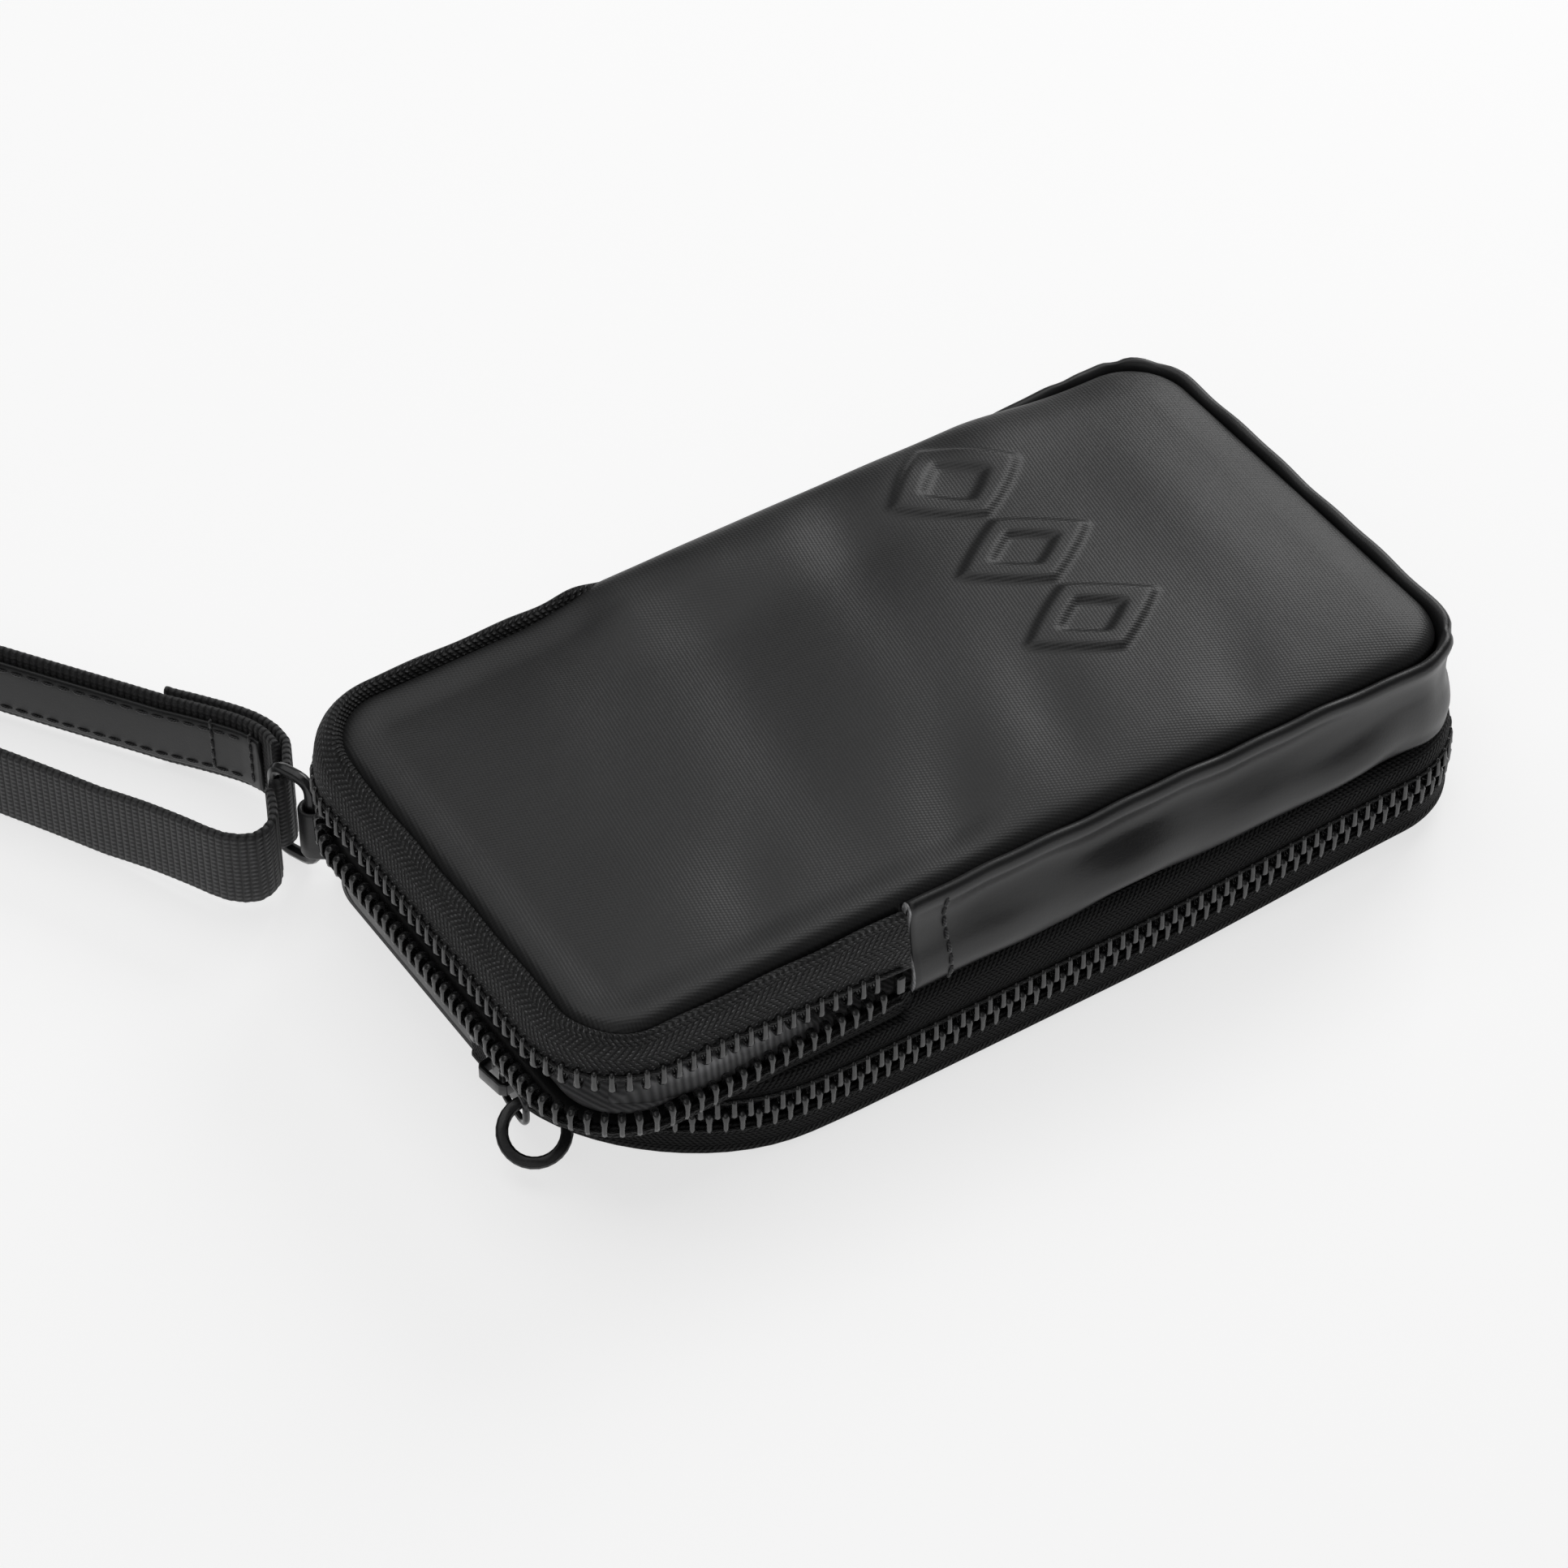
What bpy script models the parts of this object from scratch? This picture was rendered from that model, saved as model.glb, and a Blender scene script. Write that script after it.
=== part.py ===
"""Zippered phone pouch with two compartments and a wrist strap.

The upper compartment opens at one short end (-X), where the front panel lifts as a flap and a zip
runs round three sides of it. The lower compartment opens like a book about the far long side.
+X points to the closed end, -Y to the near long side and +Z up. The origin is the middle of the
back panel's underside. Lengths are in millimetres until a mesh is made.
"""
import math

import bmesh
import bpy
from mathutils import Matrix, Vector

MM = 0.001
GAP = 0.3                      # air left between neighbouring pieces

# Outline of the upper compartment, half sizes
PANEL_X, PANEL_Y, PANEL_R = 82.4, 44.4, 13.0
GUSSET_X, GUSSET_Y = 82.9, 44.8
LIP_X, LIP_Y, LIP_R = 85.3, 45.4, 16.0
FLAP_X = -26.0                 # where the front panel bends
WALL = 1.3

# Heights
BACK_TOP = 1.8
DIVIDER_LOW, DIVIDER_TOP = 15.3, 16.8
PANEL_LOW, PANEL_TOP = 34.6, 36.4
LOWER_CHAIN_Z, UPPER_CHAIN_Z = 8.8, 23.2

# Lower compartment: the zip path and the three corner radii that differ
LOWER_X0, LOWER_X1, LOWER_Y = -80.3, 84.6, 46.3
NEAR_LEFT_R, NEAR_RIGHT_R, FAR_R = 35.0, 18.0, 12.0
LOWER_ZIP_START_Y, LOWER_ZIP_END_Y = 24.0, -7.0
ARC_X, ARC_Y = LOWER_X0 + NEAR_LEFT_R, -LOWER_Y + NEAR_LEFT_R

# Zip teeth
PITCH, TOOTH_W, TOOTH_L, TOOTH_T = 2.54, 1.25, 2.2, 1.8
CORD_H = 0.8
TAPE_T = 0.9
MOUTH_ZIP_X = -31.4            # where the teeth of the upper zip start

# Sliders and pulls
SLIDER_LEN, SLIDER_HALF_H, PLATE_IN, PLATE_OUT = 9.0, 4.3, 1.5, 2.4
WEB_HALF = 0.3
BAIL_HALF_W, BAIL_IN, BAIL_OUT, BAIL_REACH, BAIL_LEG = 1.2, 4.3, 5.2, 3.4, 0.9
LINK_WIRE, LINK_HALF_H, LINK_LEN = 0.6, 3.0, 8.0
RING_MEAN, RING_HALF_W, RING_HALF_T = 5.0, 1.0, 0.55
RING_SLACK = 0.35              # between the ring's inside and the link's end
LOWER_SLIDER_DEG, LOWER_LINK_TILT = 8.0, 12.0
UPPER_SLIDER_X, UPPER_LINK_TILT = -33.2, 34.0
LOWER_RING_NORMAL, UPPER_RING_NORMAL = (-0.27, -0.42, 0.866), (0.27, 0.42, 0.866)

# Strap, standing on its edge
STRAP_W, STRAP_T, STRAP_LOW = 15.0, 1.4, 0.6
OVERLAY_W, OVERLAY_T = 11.0, 0.9
STRAP_RING_IN, STRAP_RING_OUT = (-80.5, 45.6), (-83.2, 52.7)
STRAP_RING_WIRE, STRAP_RING_HALF_H, STRAP_RING_MID_Z = 1.1, 9.0, 10.4
STRAP_RISE = 28.0              # length over which the strap rises to its ring
STRAP_ROUTE = [
    (-79.7, 58.4), (-79.5, 62.0), (-80.6, 66.4), (-83.4, 71.8), (-89.0, 80.7), (-95.3, 90.0),
    (-100.9, 98.2), (-106.3, 106.2), (-112.0, 114.6), (-117.7, 123.2), (-123.1, 132.0),
    (-128.4, 141.0), (-134.0, 150.3), (-140.6, 157.6), (-148.6, 160.0), (-154.9, 155.0),
    (-154.9, 146.6), (-150.8, 138.0), (-145.3, 129.4), (-139.6, 120.6), (-133.9, 111.6),
    (-128.3, 102.6), (-122.8, 93.6), (-117.5, 84.6), (-112.6, 76.0), (-108.0, 67.6),
    (-103.4, 59.2), (-99.7, 51.6), (-96.6, 45.6), (-92.6, 42.6), (-88.8, 43.6), (-86.8, 46.6),
    (-85.8, 49.6),
]

COLOURS = {
    "coated_canvas": (0.045, 0.046, 0.05), "coated_leather": (0.05, 0.051, 0.055),
    "zip_tape": (0.012, 0.012, 0.013), "black_metal": (0.02, 0.02, 0.022),
    "lining": (0.30, 0.30, 0.31), "foam": (0.10, 0.10, 0.105), "webbing": (0.03, 0.03, 0.033),
}
ROUGHNESS = {"black_metal": 0.3, "coated_leather": 0.45, "coated_canvas": 0.5}


def clear_scene():
    for old in list(bpy.data.objects):
        bpy.data.objects.remove(old, do_unlink=True)


def new_collection(name):
    made = bpy.data.collections.new(name)
    bpy.context.scene.collection.children.link(made)
    return made


def dress(obj, kind):
    """Gives obj a Principled material of its own."""
    material = bpy.data.materials.new(obj.name + "_" + kind)
    material.use_nodes = True
    shader = material.node_tree.nodes["Principled BSDF"]
    shader.inputs["Base Color"].default_value = (*COLOURS[kind], 1.0)
    shader.inputs["Roughness"].default_value = ROUGHNESS.get(kind, 0.8)
    shader.inputs["Metallic"].default_value = 1.0 if kind == "black_metal" else 0.0
    obj.data.materials.clear()
    obj.data.materials.append(material)
    return obj


def add_mesh(name, bm, kind, origin=(0.0, 0.0, 0.0), collection=None):
    """A new object from bm (in millimetres), with its origin at the given point."""
    bmesh.ops.recalc_face_normals(bm, faces=bm.faces)
    mesh = bpy.data.meshes.new(name)
    bm.to_mesh(mesh)
    bm.free()
    mesh.transform(Matrix.Scale(MM, 4) @ Matrix.Translation(-Vector(origin)))
    obj = bpy.data.objects.new(name, mesh)
    obj.location = Vector(origin) * MM
    (collection or PARTS).objects.link(obj)
    return dress(obj, kind)


def solidify(obj, thickness):
    """Turns an open surface into a shell, half its thickness to each side."""
    mod = obj.modifiers.new("Shell", "SOLIDIFY")
    mod.thickness = thickness * MM
    mod.offset = 0.0
    mod.use_even_offset = True
    return obj


def soften(obj, width):
    mod = obj.modifiers.new("Edges", "BEVEL")
    mod.width = width * MM
    mod.segments = 1
    mod.limit_method = "ANGLE"
    return obj


def corner_arc(before, corner, after, radius, steps):
    """Points of the arc that rounds a corner."""
    c = Vector(corner)
    to_before, to_after = (Vector(before) - c).normalized(), (Vector(after) - c).normalized()
    half = to_before.angle(to_after) / 2
    centre = c + (to_before + to_after).normalized() * (radius / math.sin(half))
    start = c + to_before * (radius / math.tan(half)) - centre
    end = c + to_after * (radius / math.tan(half)) - centre
    turn = start.angle_signed(end)
    points = []
    for i in range(steps + 1):
        angle = -turn * i / steps
        cos, sin = math.cos(angle), math.sin(angle)
        points.append((centre.x + start.x * cos - start.y * sin,
                       centre.y + start.x * sin + start.y * cos))
    return points


def rounded(corners, closed=False, steps=6):
    """A line through (x, y, radius) corners. Radius 0 keeps the corner sharp."""
    points = []
    count = len(corners)
    for i, (x, y, radius) in enumerate(corners):
        end_point = not closed and i in (0, count - 1)
        if radius == 0 or end_point:
            points.append((x, y))
            continue
        before, after = corners[i - 1][:2], corners[(i + 1) % count][:2]
        points += corner_arc(before, (x, y), after, radius, steps)
    return points


def box_outline(x0, x1, y0, y1, radii):
    """A closed rounded rectangle. Radii are near left, near right, far right and far left."""
    corners = [(x0, y0), (x1, y0), (x1, y1), (x0, y1)]
    return rounded([(*c, r) for c, r in zip(corners, radii)], closed=True)


def slab(name, outline, z0, z1, kind, bevel=0.0):
    """A flat solid between two heights."""
    bm = bmesh.new()
    face = bm.faces.new([bm.verts.new((x, y, z0)) for x, y in outline])
    made = bmesh.ops.extrude_face_region(bm, geom=[face])
    tops = [v for v in made["geom"] if isinstance(v, bmesh.types.BMVert)]
    bmesh.ops.translate(bm, verts=tops, vec=(0, 0, z1 - z0))
    obj = add_mesh(name, bm, kind)
    return soften(obj, bevel) if bevel else obj


def wall(name, rows, thickness, kind, skip=None, origin=(0, 0, 0)):
    """A shell lofted through rows of points, one row for each height. skip(row, column) leaves
    a face out."""
    bm = bmesh.new()
    grid = [[bm.verts.new(p) for p in row] for row in rows]
    for r in range(len(grid) - 1):
        for c in range(len(grid[r]) - 1):
            if skip and skip(r, c):
                continue
            bm.faces.new((grid[r][c], grid[r][c + 1], grid[r + 1][c + 1], grid[r + 1][c]))
    loose = [v for v in bm.verts if not v.link_faces]
    bmesh.ops.delete(bm, geom=loose, context="VERTS")
    return solidify(add_mesh(name, bm, kind, origin), thickness)


def level(line, z):
    return [(x, y, z) for x, y in line]


class Route:
    """A line measured by the distance along it."""

    def __init__(self, points):
        self.points = [Vector(p) for p in points]
        self.at = [0.0]
        for a, b in zip(self.points, self.points[1:]):
            self.at.append(self.at[-1] + (b - a).length)

    def point(self, distance):
        distance = min(max(distance, 0.0), self.at[-1])
        for i in range(len(self.points) - 1):
            if distance <= self.at[i + 1]:
                share = (distance - self.at[i]) / (self.at[i + 1] - self.at[i])
                return self.points[i].lerp(self.points[i + 1], share)
        return self.points[-1]


def mouth_share(x):
    """0 where the zip is closed at the bend, rising to 1 where the mouth is fully parted."""
    share = (MOUTH_ZIP_X - x) / 36.0
    return min(max(share, 0.0), 1.0)


def upper_tip(x):
    """Height of the upper row's tooth tips."""
    return UPPER_CHAIN_Z + 1.2 + 2.2 * mouth_share(x)


def lower_tip(x):
    """Height of the lower row's tooth tips."""
    return UPPER_CHAIN_Z - 0.8 - 1.7 * mouth_share(x)


def comb(name, line, tip, side):
    """A row of teeth on its cord. tip(x) is the height of the tips; side is +1 for a row above
    its tips and -1 for one below."""
    route = Route(line)
    count = int((route.at[-1] - TOOTH_W) / PITCH)
    rows = [[], [], []]
    for i in range(count + 1):
        for distance in (i * PITCH, i * PITCH + TOOTH_W):
            x, y = route.point(distance)
            for row, reach in zip(rows, (TOOTH_L + CORD_H, TOOTH_L, 0.0)):
                row.append((x, y, tip(x) + side * reach))
    return wall(name, rows, TOOTH_T, "black_metal", skip=lambda r, c: r == 1 and c % 2 == 1)


def mouth_line(x_end, half_x, half_y, radius, steps=7):
    """The line round the mouth, from the near side over the short end to the far side."""
    corners = [(x_end, -half_y, 0), (-half_x, -half_y, radius), (-half_x, half_y, radius),
               (x_end, half_y, 0)]
    return rounded(corners, steps=steps)


def lower_zip_line(inset=0.0, steps=9):
    """The lower zip's line, from the closed end round the near side to the short end."""
    corners = [(LOWER_X1 - inset, LOWER_ZIP_START_Y, 0),
               (LOWER_X1 - inset, -LOWER_Y + inset, NEAR_RIGHT_R - inset),
               (LOWER_X0 + inset, -LOWER_Y + inset, NEAR_LEFT_R - inset),
               (LOWER_X0 + inset, LOWER_ZIP_END_Y, 0)]
    return rounded(corners, steps=steps)


def lower_outline(inset):
    """The lower compartment's whole outline."""
    radii = [r - inset for r in (NEAR_LEFT_R, NEAR_RIGHT_R, FAR_R, FAR_R)]
    return box_outline(LOWER_X0 + inset, LOWER_X1 - inset, -LOWER_Y + inset, 45.9 - inset, radii)


def make_front():
    """The front panel in two lengths, with the foam and the lining under each."""
    layers = [("panel", 0.0, PANEL_LOW, PANEL_TOP, "coated_canvas"),
              ("foam", 3.6, 32.4, PANEL_LOW - GAP, "foam"),
              ("lining", 3.8, 31.4, 32.4 - GAP, "lining")]
    for layer, inset, z0, z1, kind in layers:
        far_x, half_y, r = PANEL_X - inset, PANEL_Y - inset, PANEL_R - inset
        main = box_outline(FLAP_X + GAP, far_x, -half_y, half_y, (0, r, r, 0))
        flap = box_outline(-far_x, FLAP_X - GAP, -half_y, half_y, (r, 0, 0, r))
        slab("front_" + layer, main, z0, z1, kind)
        slab("flap_" + layer, flap, z0, z1, kind)


def make_upper_gusset():
    rows = []
    for z, out in ((DIVIDER_TOP + GAP, 0.0), (22.0, 0.7), (29.0, 0.7), (PANEL_LOW - GAP, -0.2)):
        corners = [(FLAP_X, -GUSSET_Y - out, 0), (GUSSET_X + out, -GUSSET_Y - out, PANEL_R),
                   (GUSSET_X + out, GUSSET_Y + out, PANEL_R), (FLAP_X, GUSSET_Y + out, 0)]
        rows.append(level(rounded(corners), z))
    wall("upper_gusset", rows, WALL, "coated_leather")


def make_divider():
    radii = (LIP_R, PANEL_R, PANEL_R, LIP_R)
    slab("divider_panel", box_outline(-83.2, 83.4, -44.4, 44.4, radii),
         DIVIDER_LOW, DIVIDER_TOP, "coated_leather")
    slab("divider_lining_upper", box_outline(-80.6, 80.6, -42.2, 42.2, [PANEL_R - 2] * 4),
         DIVIDER_TOP + GAP, DIVIDER_TOP + 1.1, "lining")
    inner = lower_outline(3.4)
    slab("divider_lining_lower", inner, DIVIDER_LOW - 1.1, DIVIDER_LOW - GAP, "lining")


def stop_block(name, centre, size):
    """A small clamp at the end of a zip."""
    bm = bmesh.new()
    bmesh.ops.create_cube(bm, size=1.0,
                          matrix=Matrix.Translation(centre) @ Matrix.Diagonal((*size, 1.0)))
    soften(add_mesh(name, bm, "black_metal"), 0.4)


def make_upper_zip():
    lip = mouth_line(MOUTH_ZIP_X, LIP_X, LIP_Y, LIP_R)
    top = mouth_line(FLAP_X - 1.4, PANEL_X - 0.9, PANEL_Y - 0.9, PANEL_R)
    low = mouth_line(FLAP_X - 1.4, LIP_X, LIP_Y, LIP_R)
    tape_low = TOOTH_L + CORD_H + GAP
    edge = [(x, y, upper_tip(x) + tape_low + 0.2) for x, y in low]
    rise = [((a[0] + 2 * b[0]) / 3 - 0.3, (a[1] + 2 * b[1]) / 3, b[2] + 2.2)
            for a, b in zip(top, edge)]
    wall("upper_tape", [edge, rise, level(top, PANEL_LOW - 2 * GAP)], TAPE_T, "zip_tape")
    comb("upper_teeth", lip, upper_tip, 1)
    comb("mouth_lower_teeth", lip, lower_tip, -1)
    sewn_edge = [(x, y, lower_tip(x) - tape_low) for x, y in low]
    wall("mouth_lower_tape", [level(low, DIVIDER_LOW + GAP), sewn_edge], TAPE_T, "zip_tape")
    stop_block("zip_bottom_stop", (-28.5, -LIP_Y, UPPER_CHAIN_Z), (2.0, 2.2, 6.4))


def make_lower_zip():
    line = lower_zip_line()
    upper, lower = LOWER_CHAIN_Z + 0.8, LOWER_CHAIN_Z - 0.8
    reach = TOOTH_L + CORD_H + GAP
    comb("lower_zip_teeth_top", line, lambda x: upper, 1)
    comb("lower_zip_teeth_bottom", line, lambda x: lower, -1)
    wall("lower_zip_tape_top", [level(line, upper + reach), level(line, DIVIDER_LOW - GAP)],
         TAPE_T, "zip_tape")
    wall("lower_zip_tape_bottom", [level(line, BACK_TOP + GAP), level(line, lower - reach)],
         TAPE_T, "zip_tape")
    stop_block("zip_end_stop", (LOWER_X0, -5.2, LOWER_CHAIN_Z), (2.2, 2.0, 7.6))


def make_lower_shell():
    """The back panel with its foam and lining, and the walls that the zip doesn't run along."""
    slab("back_panel", lower_outline(-0.3), 0.0, BACK_TOP, "coated_leather", bevel=0.5)
    slab("back_foam", lower_outline(3.0), BACK_TOP + GAP, BACK_TOP + 1.7, "foam")
    slab("back_lining", lower_outline(3.0), BACK_TOP + 2.0, BACK_TOP + 2.8, "lining")
    z0, z1 = BACK_TOP + GAP, DIVIDER_LOW - GAP
    far = 45.2
    spine = [(-66.0, far), (70.0, far)]
    wall("spine", [level(spine, z0), level(spine, z1)], WALL, "coated_leather")
    left = rounded([(LOWER_X0, -3.6, 0), (LOWER_X0, far, FAR_R), (-66.4, far, 0)])
    right = rounded([(LOWER_X1, LOWER_ZIP_START_Y + 0.4, 0), (LOWER_X1, far, FAR_R), (70.4, far, 0)])
    wall("end_gusset_left", [level(left, z0), level(left, z1)], 1.0, "coated_leather")
    wall("end_gusset_right", [level(right, z0), level(right, z1)], 1.0, "coated_leather")


def slider_frame(x, y, angle):
    """A frame at a slider: +X along the zip, +Y out of the pouch, +Z up."""
    return Matrix.Translation((x, y, 0)) @ Matrix.Rotation(angle, 4, "Z")


def prism(outline, half, frame, z):
    """A bmesh of an outline in the frame's X-Y plane, extruded to both sides of height z."""
    bm = bmesh.new()
    face = bm.faces.new([bm.verts.new((a, b, z - half)) for a, b in outline])
    made = bmesh.ops.extrude_face_region(bm, geom=[face])
    tops = [v for v in made["geom"] if isinstance(v, bmesh.types.BMVert)]
    bmesh.ops.translate(bm, verts=tops, vec=(0, 0, 2 * half))
    bm.transform(frame)
    return bm


def plate_outline(b0, b1, half_len, nose):
    """A slider plate in plan: a bar with chamfered ends."""
    return [(-half_len, b0), (half_len, b0), (half_len, b1 - nose), (half_len - nose, b1),
            (-half_len + nose, b1), (-half_len, b1 - nose)]


def bail_outline():
    """The bridge that holds the pull, seen from above."""
    inner = BAIL_REACH - BAIL_LEG
    foot = PLATE_OUT - 0.3
    return [(-BAIL_REACH, foot), (-BAIL_REACH, BAIL_OUT - 0.8), (-inner, BAIL_OUT),
            (inner, BAIL_OUT), (BAIL_REACH, BAIL_OUT - 0.8), (BAIL_REACH, foot),
            (inner, foot), (inner, BAIL_IN), (-inner, BAIL_IN), (-inner, foot)]


def make_slider(name, frame, z, origin):
    """Two plates on a web, with the pull's bridge on the outer plate, joined into one solid."""
    half = SLIDER_LEN / 2
    outer = prism(plate_outline(PLATE_IN, PLATE_OUT, half, 0.4), SLIDER_HALF_H, frame, z)
    body = add_mesh(name, outer, "black_metal", origin)
    inner_plate = [(a, -b) for a, b in plate_outline(PLATE_IN, PLATE_OUT, half, 0.4)]
    overlap = PLATE_IN + 0.3
    web = [(-half + 1, -overlap), (half - 1, -overlap), (half - 1, overlap), (-half + 1, overlap)]
    pieces = [("inner", inner_plate, SLIDER_HALF_H), ("web", web, WEB_HALF),
              ("bail", bail_outline(), BAIL_HALF_W)]
    for label, outline, half_height in pieces:
        cutter = add_mesh(name + "_" + label, prism(outline, half_height, frame, z),
                          "black_metal", origin, CUTTERS)
        cutter.hide_render = True
        cutter.display_type = "WIRE"
        join = body.modifiers.new(label, "BOOLEAN")
        join.operation = "UNION"
        join.object = cutter
    return body


def wire_loop(name, points, radius, origin, kind="black_metal", resolution=2):
    """A closed loop of round wire through the points."""
    curve = bpy.data.curves.new(name, "CURVE")
    curve.dimensions = "3D"
    curve.bevel_depth = radius * MM
    curve.bevel_resolution = resolution
    spline = curve.splines.new("POLY")
    spline.points.add(len(points) - 1)
    for item, p in zip(spline.points, points):
        item.co = (*((Vector(p) - Vector(origin)) * MM), 1.0)
    spline.use_cyclic_u = True
    obj = bpy.data.objects.new(name, curve)
    obj.location = Vector(origin) * MM
    PARTS.objects.link(obj)
    return dress(obj, kind)


def loop_points(start, direction, length, half_height, z, steps=4):
    """A rectangle with round corners in the vertical plane that holds direction."""
    r = min(length, 2 * half_height) * 0.32
    flat = rounded([(0, -half_height, r), (length, -half_height, r), (length, half_height, r),
                    (0, half_height, r)], closed=True, steps=steps)
    return [(start[0] + direction[0] * s, start[1] + direction[1] * s, z + h) for s, h in flat]


def make_ring(name, centre, normal, origin):
    """A flat round ring, turned about its own axis."""
    bm = bmesh.new()
    w, t = RING_HALF_W, RING_HALF_T
    section = [(-w, -t), (w, -t), (w, t), (-w, t)]
    verts = [bm.verts.new((RING_MEAN + a, 0, b)) for a, b in section]
    edges = [bm.edges.new((verts[i], verts[(i + 1) % 4])) for i in range(4)]
    bmesh.ops.spin(bm, geom=verts + edges, axis=(0, 0, 1), cent=(0, 0, 0), angle=math.tau,
                   steps=28, use_merge=True)
    bmesh.ops.remove_doubles(bm, verts=bm.verts, dist=0.001)
    turn = Vector((0, 0, 1)).rotation_difference(Vector(normal)).to_matrix().to_4x4()
    bm.transform(Matrix.Translation(centre) @ turn)
    return soften(add_mesh(name, bm, "black_metal", origin), 0.3)


def make_pull(prefix, frame, z, side, tilt, normal):
    """The link in the slider's bridge and the ring in the link. side is the way along the
    frame's X that the pull points."""
    eye = (PLATE_OUT + BAIL_IN) / 2
    bar = frame @ Vector((side * 1.0, eye, 0))
    turn = math.radians(tilt)
    way = frame.to_3x3() @ Vector((side * math.cos(turn), math.sin(turn), 0))
    wire_loop(prefix + "_pull_link", loop_points(bar, way, LINK_LEN, LINK_HALF_H, z),
              LINK_WIRE, (bar.x, bar.y, z))
    far_bar = bar + way * LINK_LEN
    reach = RING_MEAN - RING_HALF_W - LINK_WIRE - RING_SLACK
    normal = Vector(normal).normalized()
    across = Vector((-way.y, way.x, 0))
    along = normal.cross(across - normal * across.dot(normal)).normalized()
    if along.dot(way) < 0:
        along.negate()
    centre = Vector((far_bar.x, far_bar.y, z)) + along * reach
    make_ring(prefix + "_pull_ring", centre, normal, (far_bar.x, far_bar.y, z))


def make_sliders():
    turn = math.radians(LOWER_SLIDER_DEG)
    out = Vector((-math.cos(turn), -math.sin(turn), 0))
    lower = slider_frame(ARC_X + out.x * NEAR_LEFT_R, ARC_Y + out.y * NEAR_LEFT_R,
                         math.radians(90) + turn)
    make_slider("lower_slider", lower, LOWER_CHAIN_Z, (ARC_X, ARC_Y, LOWER_CHAIN_Z))
    make_pull("lower", lower, LOWER_CHAIN_Z, -1, LOWER_LINK_TILT, LOWER_RING_NORMAL)
    upper = slider_frame(UPPER_SLIDER_X, LIP_Y, 0.0)
    make_slider("upper_slider", upper, UPPER_CHAIN_Z, (UPPER_SLIDER_X, LIP_Y, UPPER_CHAIN_Z))
    make_pull("upper", upper, UPPER_CHAIN_Z, 1, UPPER_LINK_TILT, UPPER_RING_NORMAL)


def smooth_line(points, per_span=2):
    """Points of a Catmull-Rom curve through the route's points."""
    made = []
    pts = [Vector(p) for p in points]
    for i in range(len(pts) - 1):
        a, b, c, d = pts[max(i - 1, 0)], pts[i], pts[i + 1], pts[min(i + 2, len(pts) - 1)]
        for k in range(per_span):
            t = k / per_span
            made.append(0.5 * (2 * b + (c - a) * t + (2 * a - 5 * b + 4 * c - d) * t * t
                               + (3 * b - a - 3 * c + d) * t ** 3))
    made.append(pts[-1])
    return made


def offset_line(line, distance):
    """The line moved sideways, to its left."""
    made = []
    for i, p in enumerate(line):
        way = line[min(i + 1, len(line) - 1)] - line[max(i - 1, 0)]
        left = Vector((-way.y, way.x)).normalized()
        made.append(p + left * distance)
    return made


def strip(name, line, width, thickness, middle, kind):
    """A flat strip standing on its edge along a line. middle(point) is its middle's height."""
    rows = [[(p.x, p.y, middle(p) + side * width / 2) for p in line] for side in (-1, 1)]
    return wall(name, rows, thickness, kind)


def strap_middle(point):
    """The strap stands on the table and rises to the middle of its ring."""
    low = STRAP_LOW + STRAP_W / 2
    near = max(0.0, 1.0 - (point - Vector(STRAP_RING_OUT)).length / STRAP_RISE)
    return low + (STRAP_RING_MID_Z - low) * min(1.0, 1.25 * near)


def make_strap():
    """The tab and ring at the far corner of the short end, and the webbing loop."""
    inner, outer = Vector(STRAP_RING_IN), Vector(STRAP_RING_OUT)
    way = (outer - inner).normalized()
    points = loop_points(inner, way, (outer - inner).length, STRAP_RING_HALF_H, STRAP_RING_MID_Z)
    wire_loop("strap_ring", points, STRAP_RING_WIRE, (*inner, STRAP_RING_MID_Z))
    base = Vector((LOWER_X0 + FAR_R, 45.2 - FAR_R))
    out = (inner - base).normalized()
    side = Vector((-out.y, out.x))
    foot = base + out * (FAR_R + 0.95)
    clear = STRAP_RING_WIRE + GAP + 0.5
    tab_line = [foot + side * 1.0]
    for i in range(9):
        angle = math.radians(100 - 25 * i)
        tab_line.append(inner + out * clear * math.cos(angle) + side * clear * math.sin(angle))
    tab_line.append(foot - side * 1.0)
    strip("strap_tab", tab_line, 10.0, 0.9, lambda p: 9.2, "coated_leather")
    line = smooth_line(STRAP_ROUTE)
    strip("strap_webbing", line, STRAP_W, STRAP_T, strap_middle, "webbing")
    inside = offset_line(line, (STRAP_T + OVERLAY_T) / 2 + GAP)
    strip("strap_overlay", inside[2:-14], OVERLAY_W, OVERLAY_T, strap_middle, "coated_leather")
    bend = STRAP_RING_WIRE + 2 * GAP + STRAP_T / 2
    tail = []
    for i in range(8):
        angle = math.radians(222 + 20 * i)
        tail.append(outer + Vector((math.cos(angle), math.sin(angle))) * bend)
    behind = offset_line(line, -(STRAP_T + 0.5))
    tail += behind[:9]
    strip("strap_tail", tail, STRAP_W, STRAP_T, strap_middle, "webbing")


def main():
    clear_scene()
    make_front()
    make_upper_gusset()
    make_divider()
    make_upper_zip()
    make_lower_zip()
    make_lower_shell()
    make_sliders()
    make_strap()


PARTS = new_collection("zippered_pouch")
CUTTERS = new_collection("cutters")
main()
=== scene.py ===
"""Looks of the zippered pouch. Lengths are in millimetres until a mesh is made.

+X points to the closed end, -Y to the near long side, +Z up. Sizes are read from the frame's
nodes; the constants below are only the shapes that the frame doesn't hold.
"""
import math

import bmesh
import bpy
import numpy as np
from mathutils import Matrix, Vector


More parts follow.
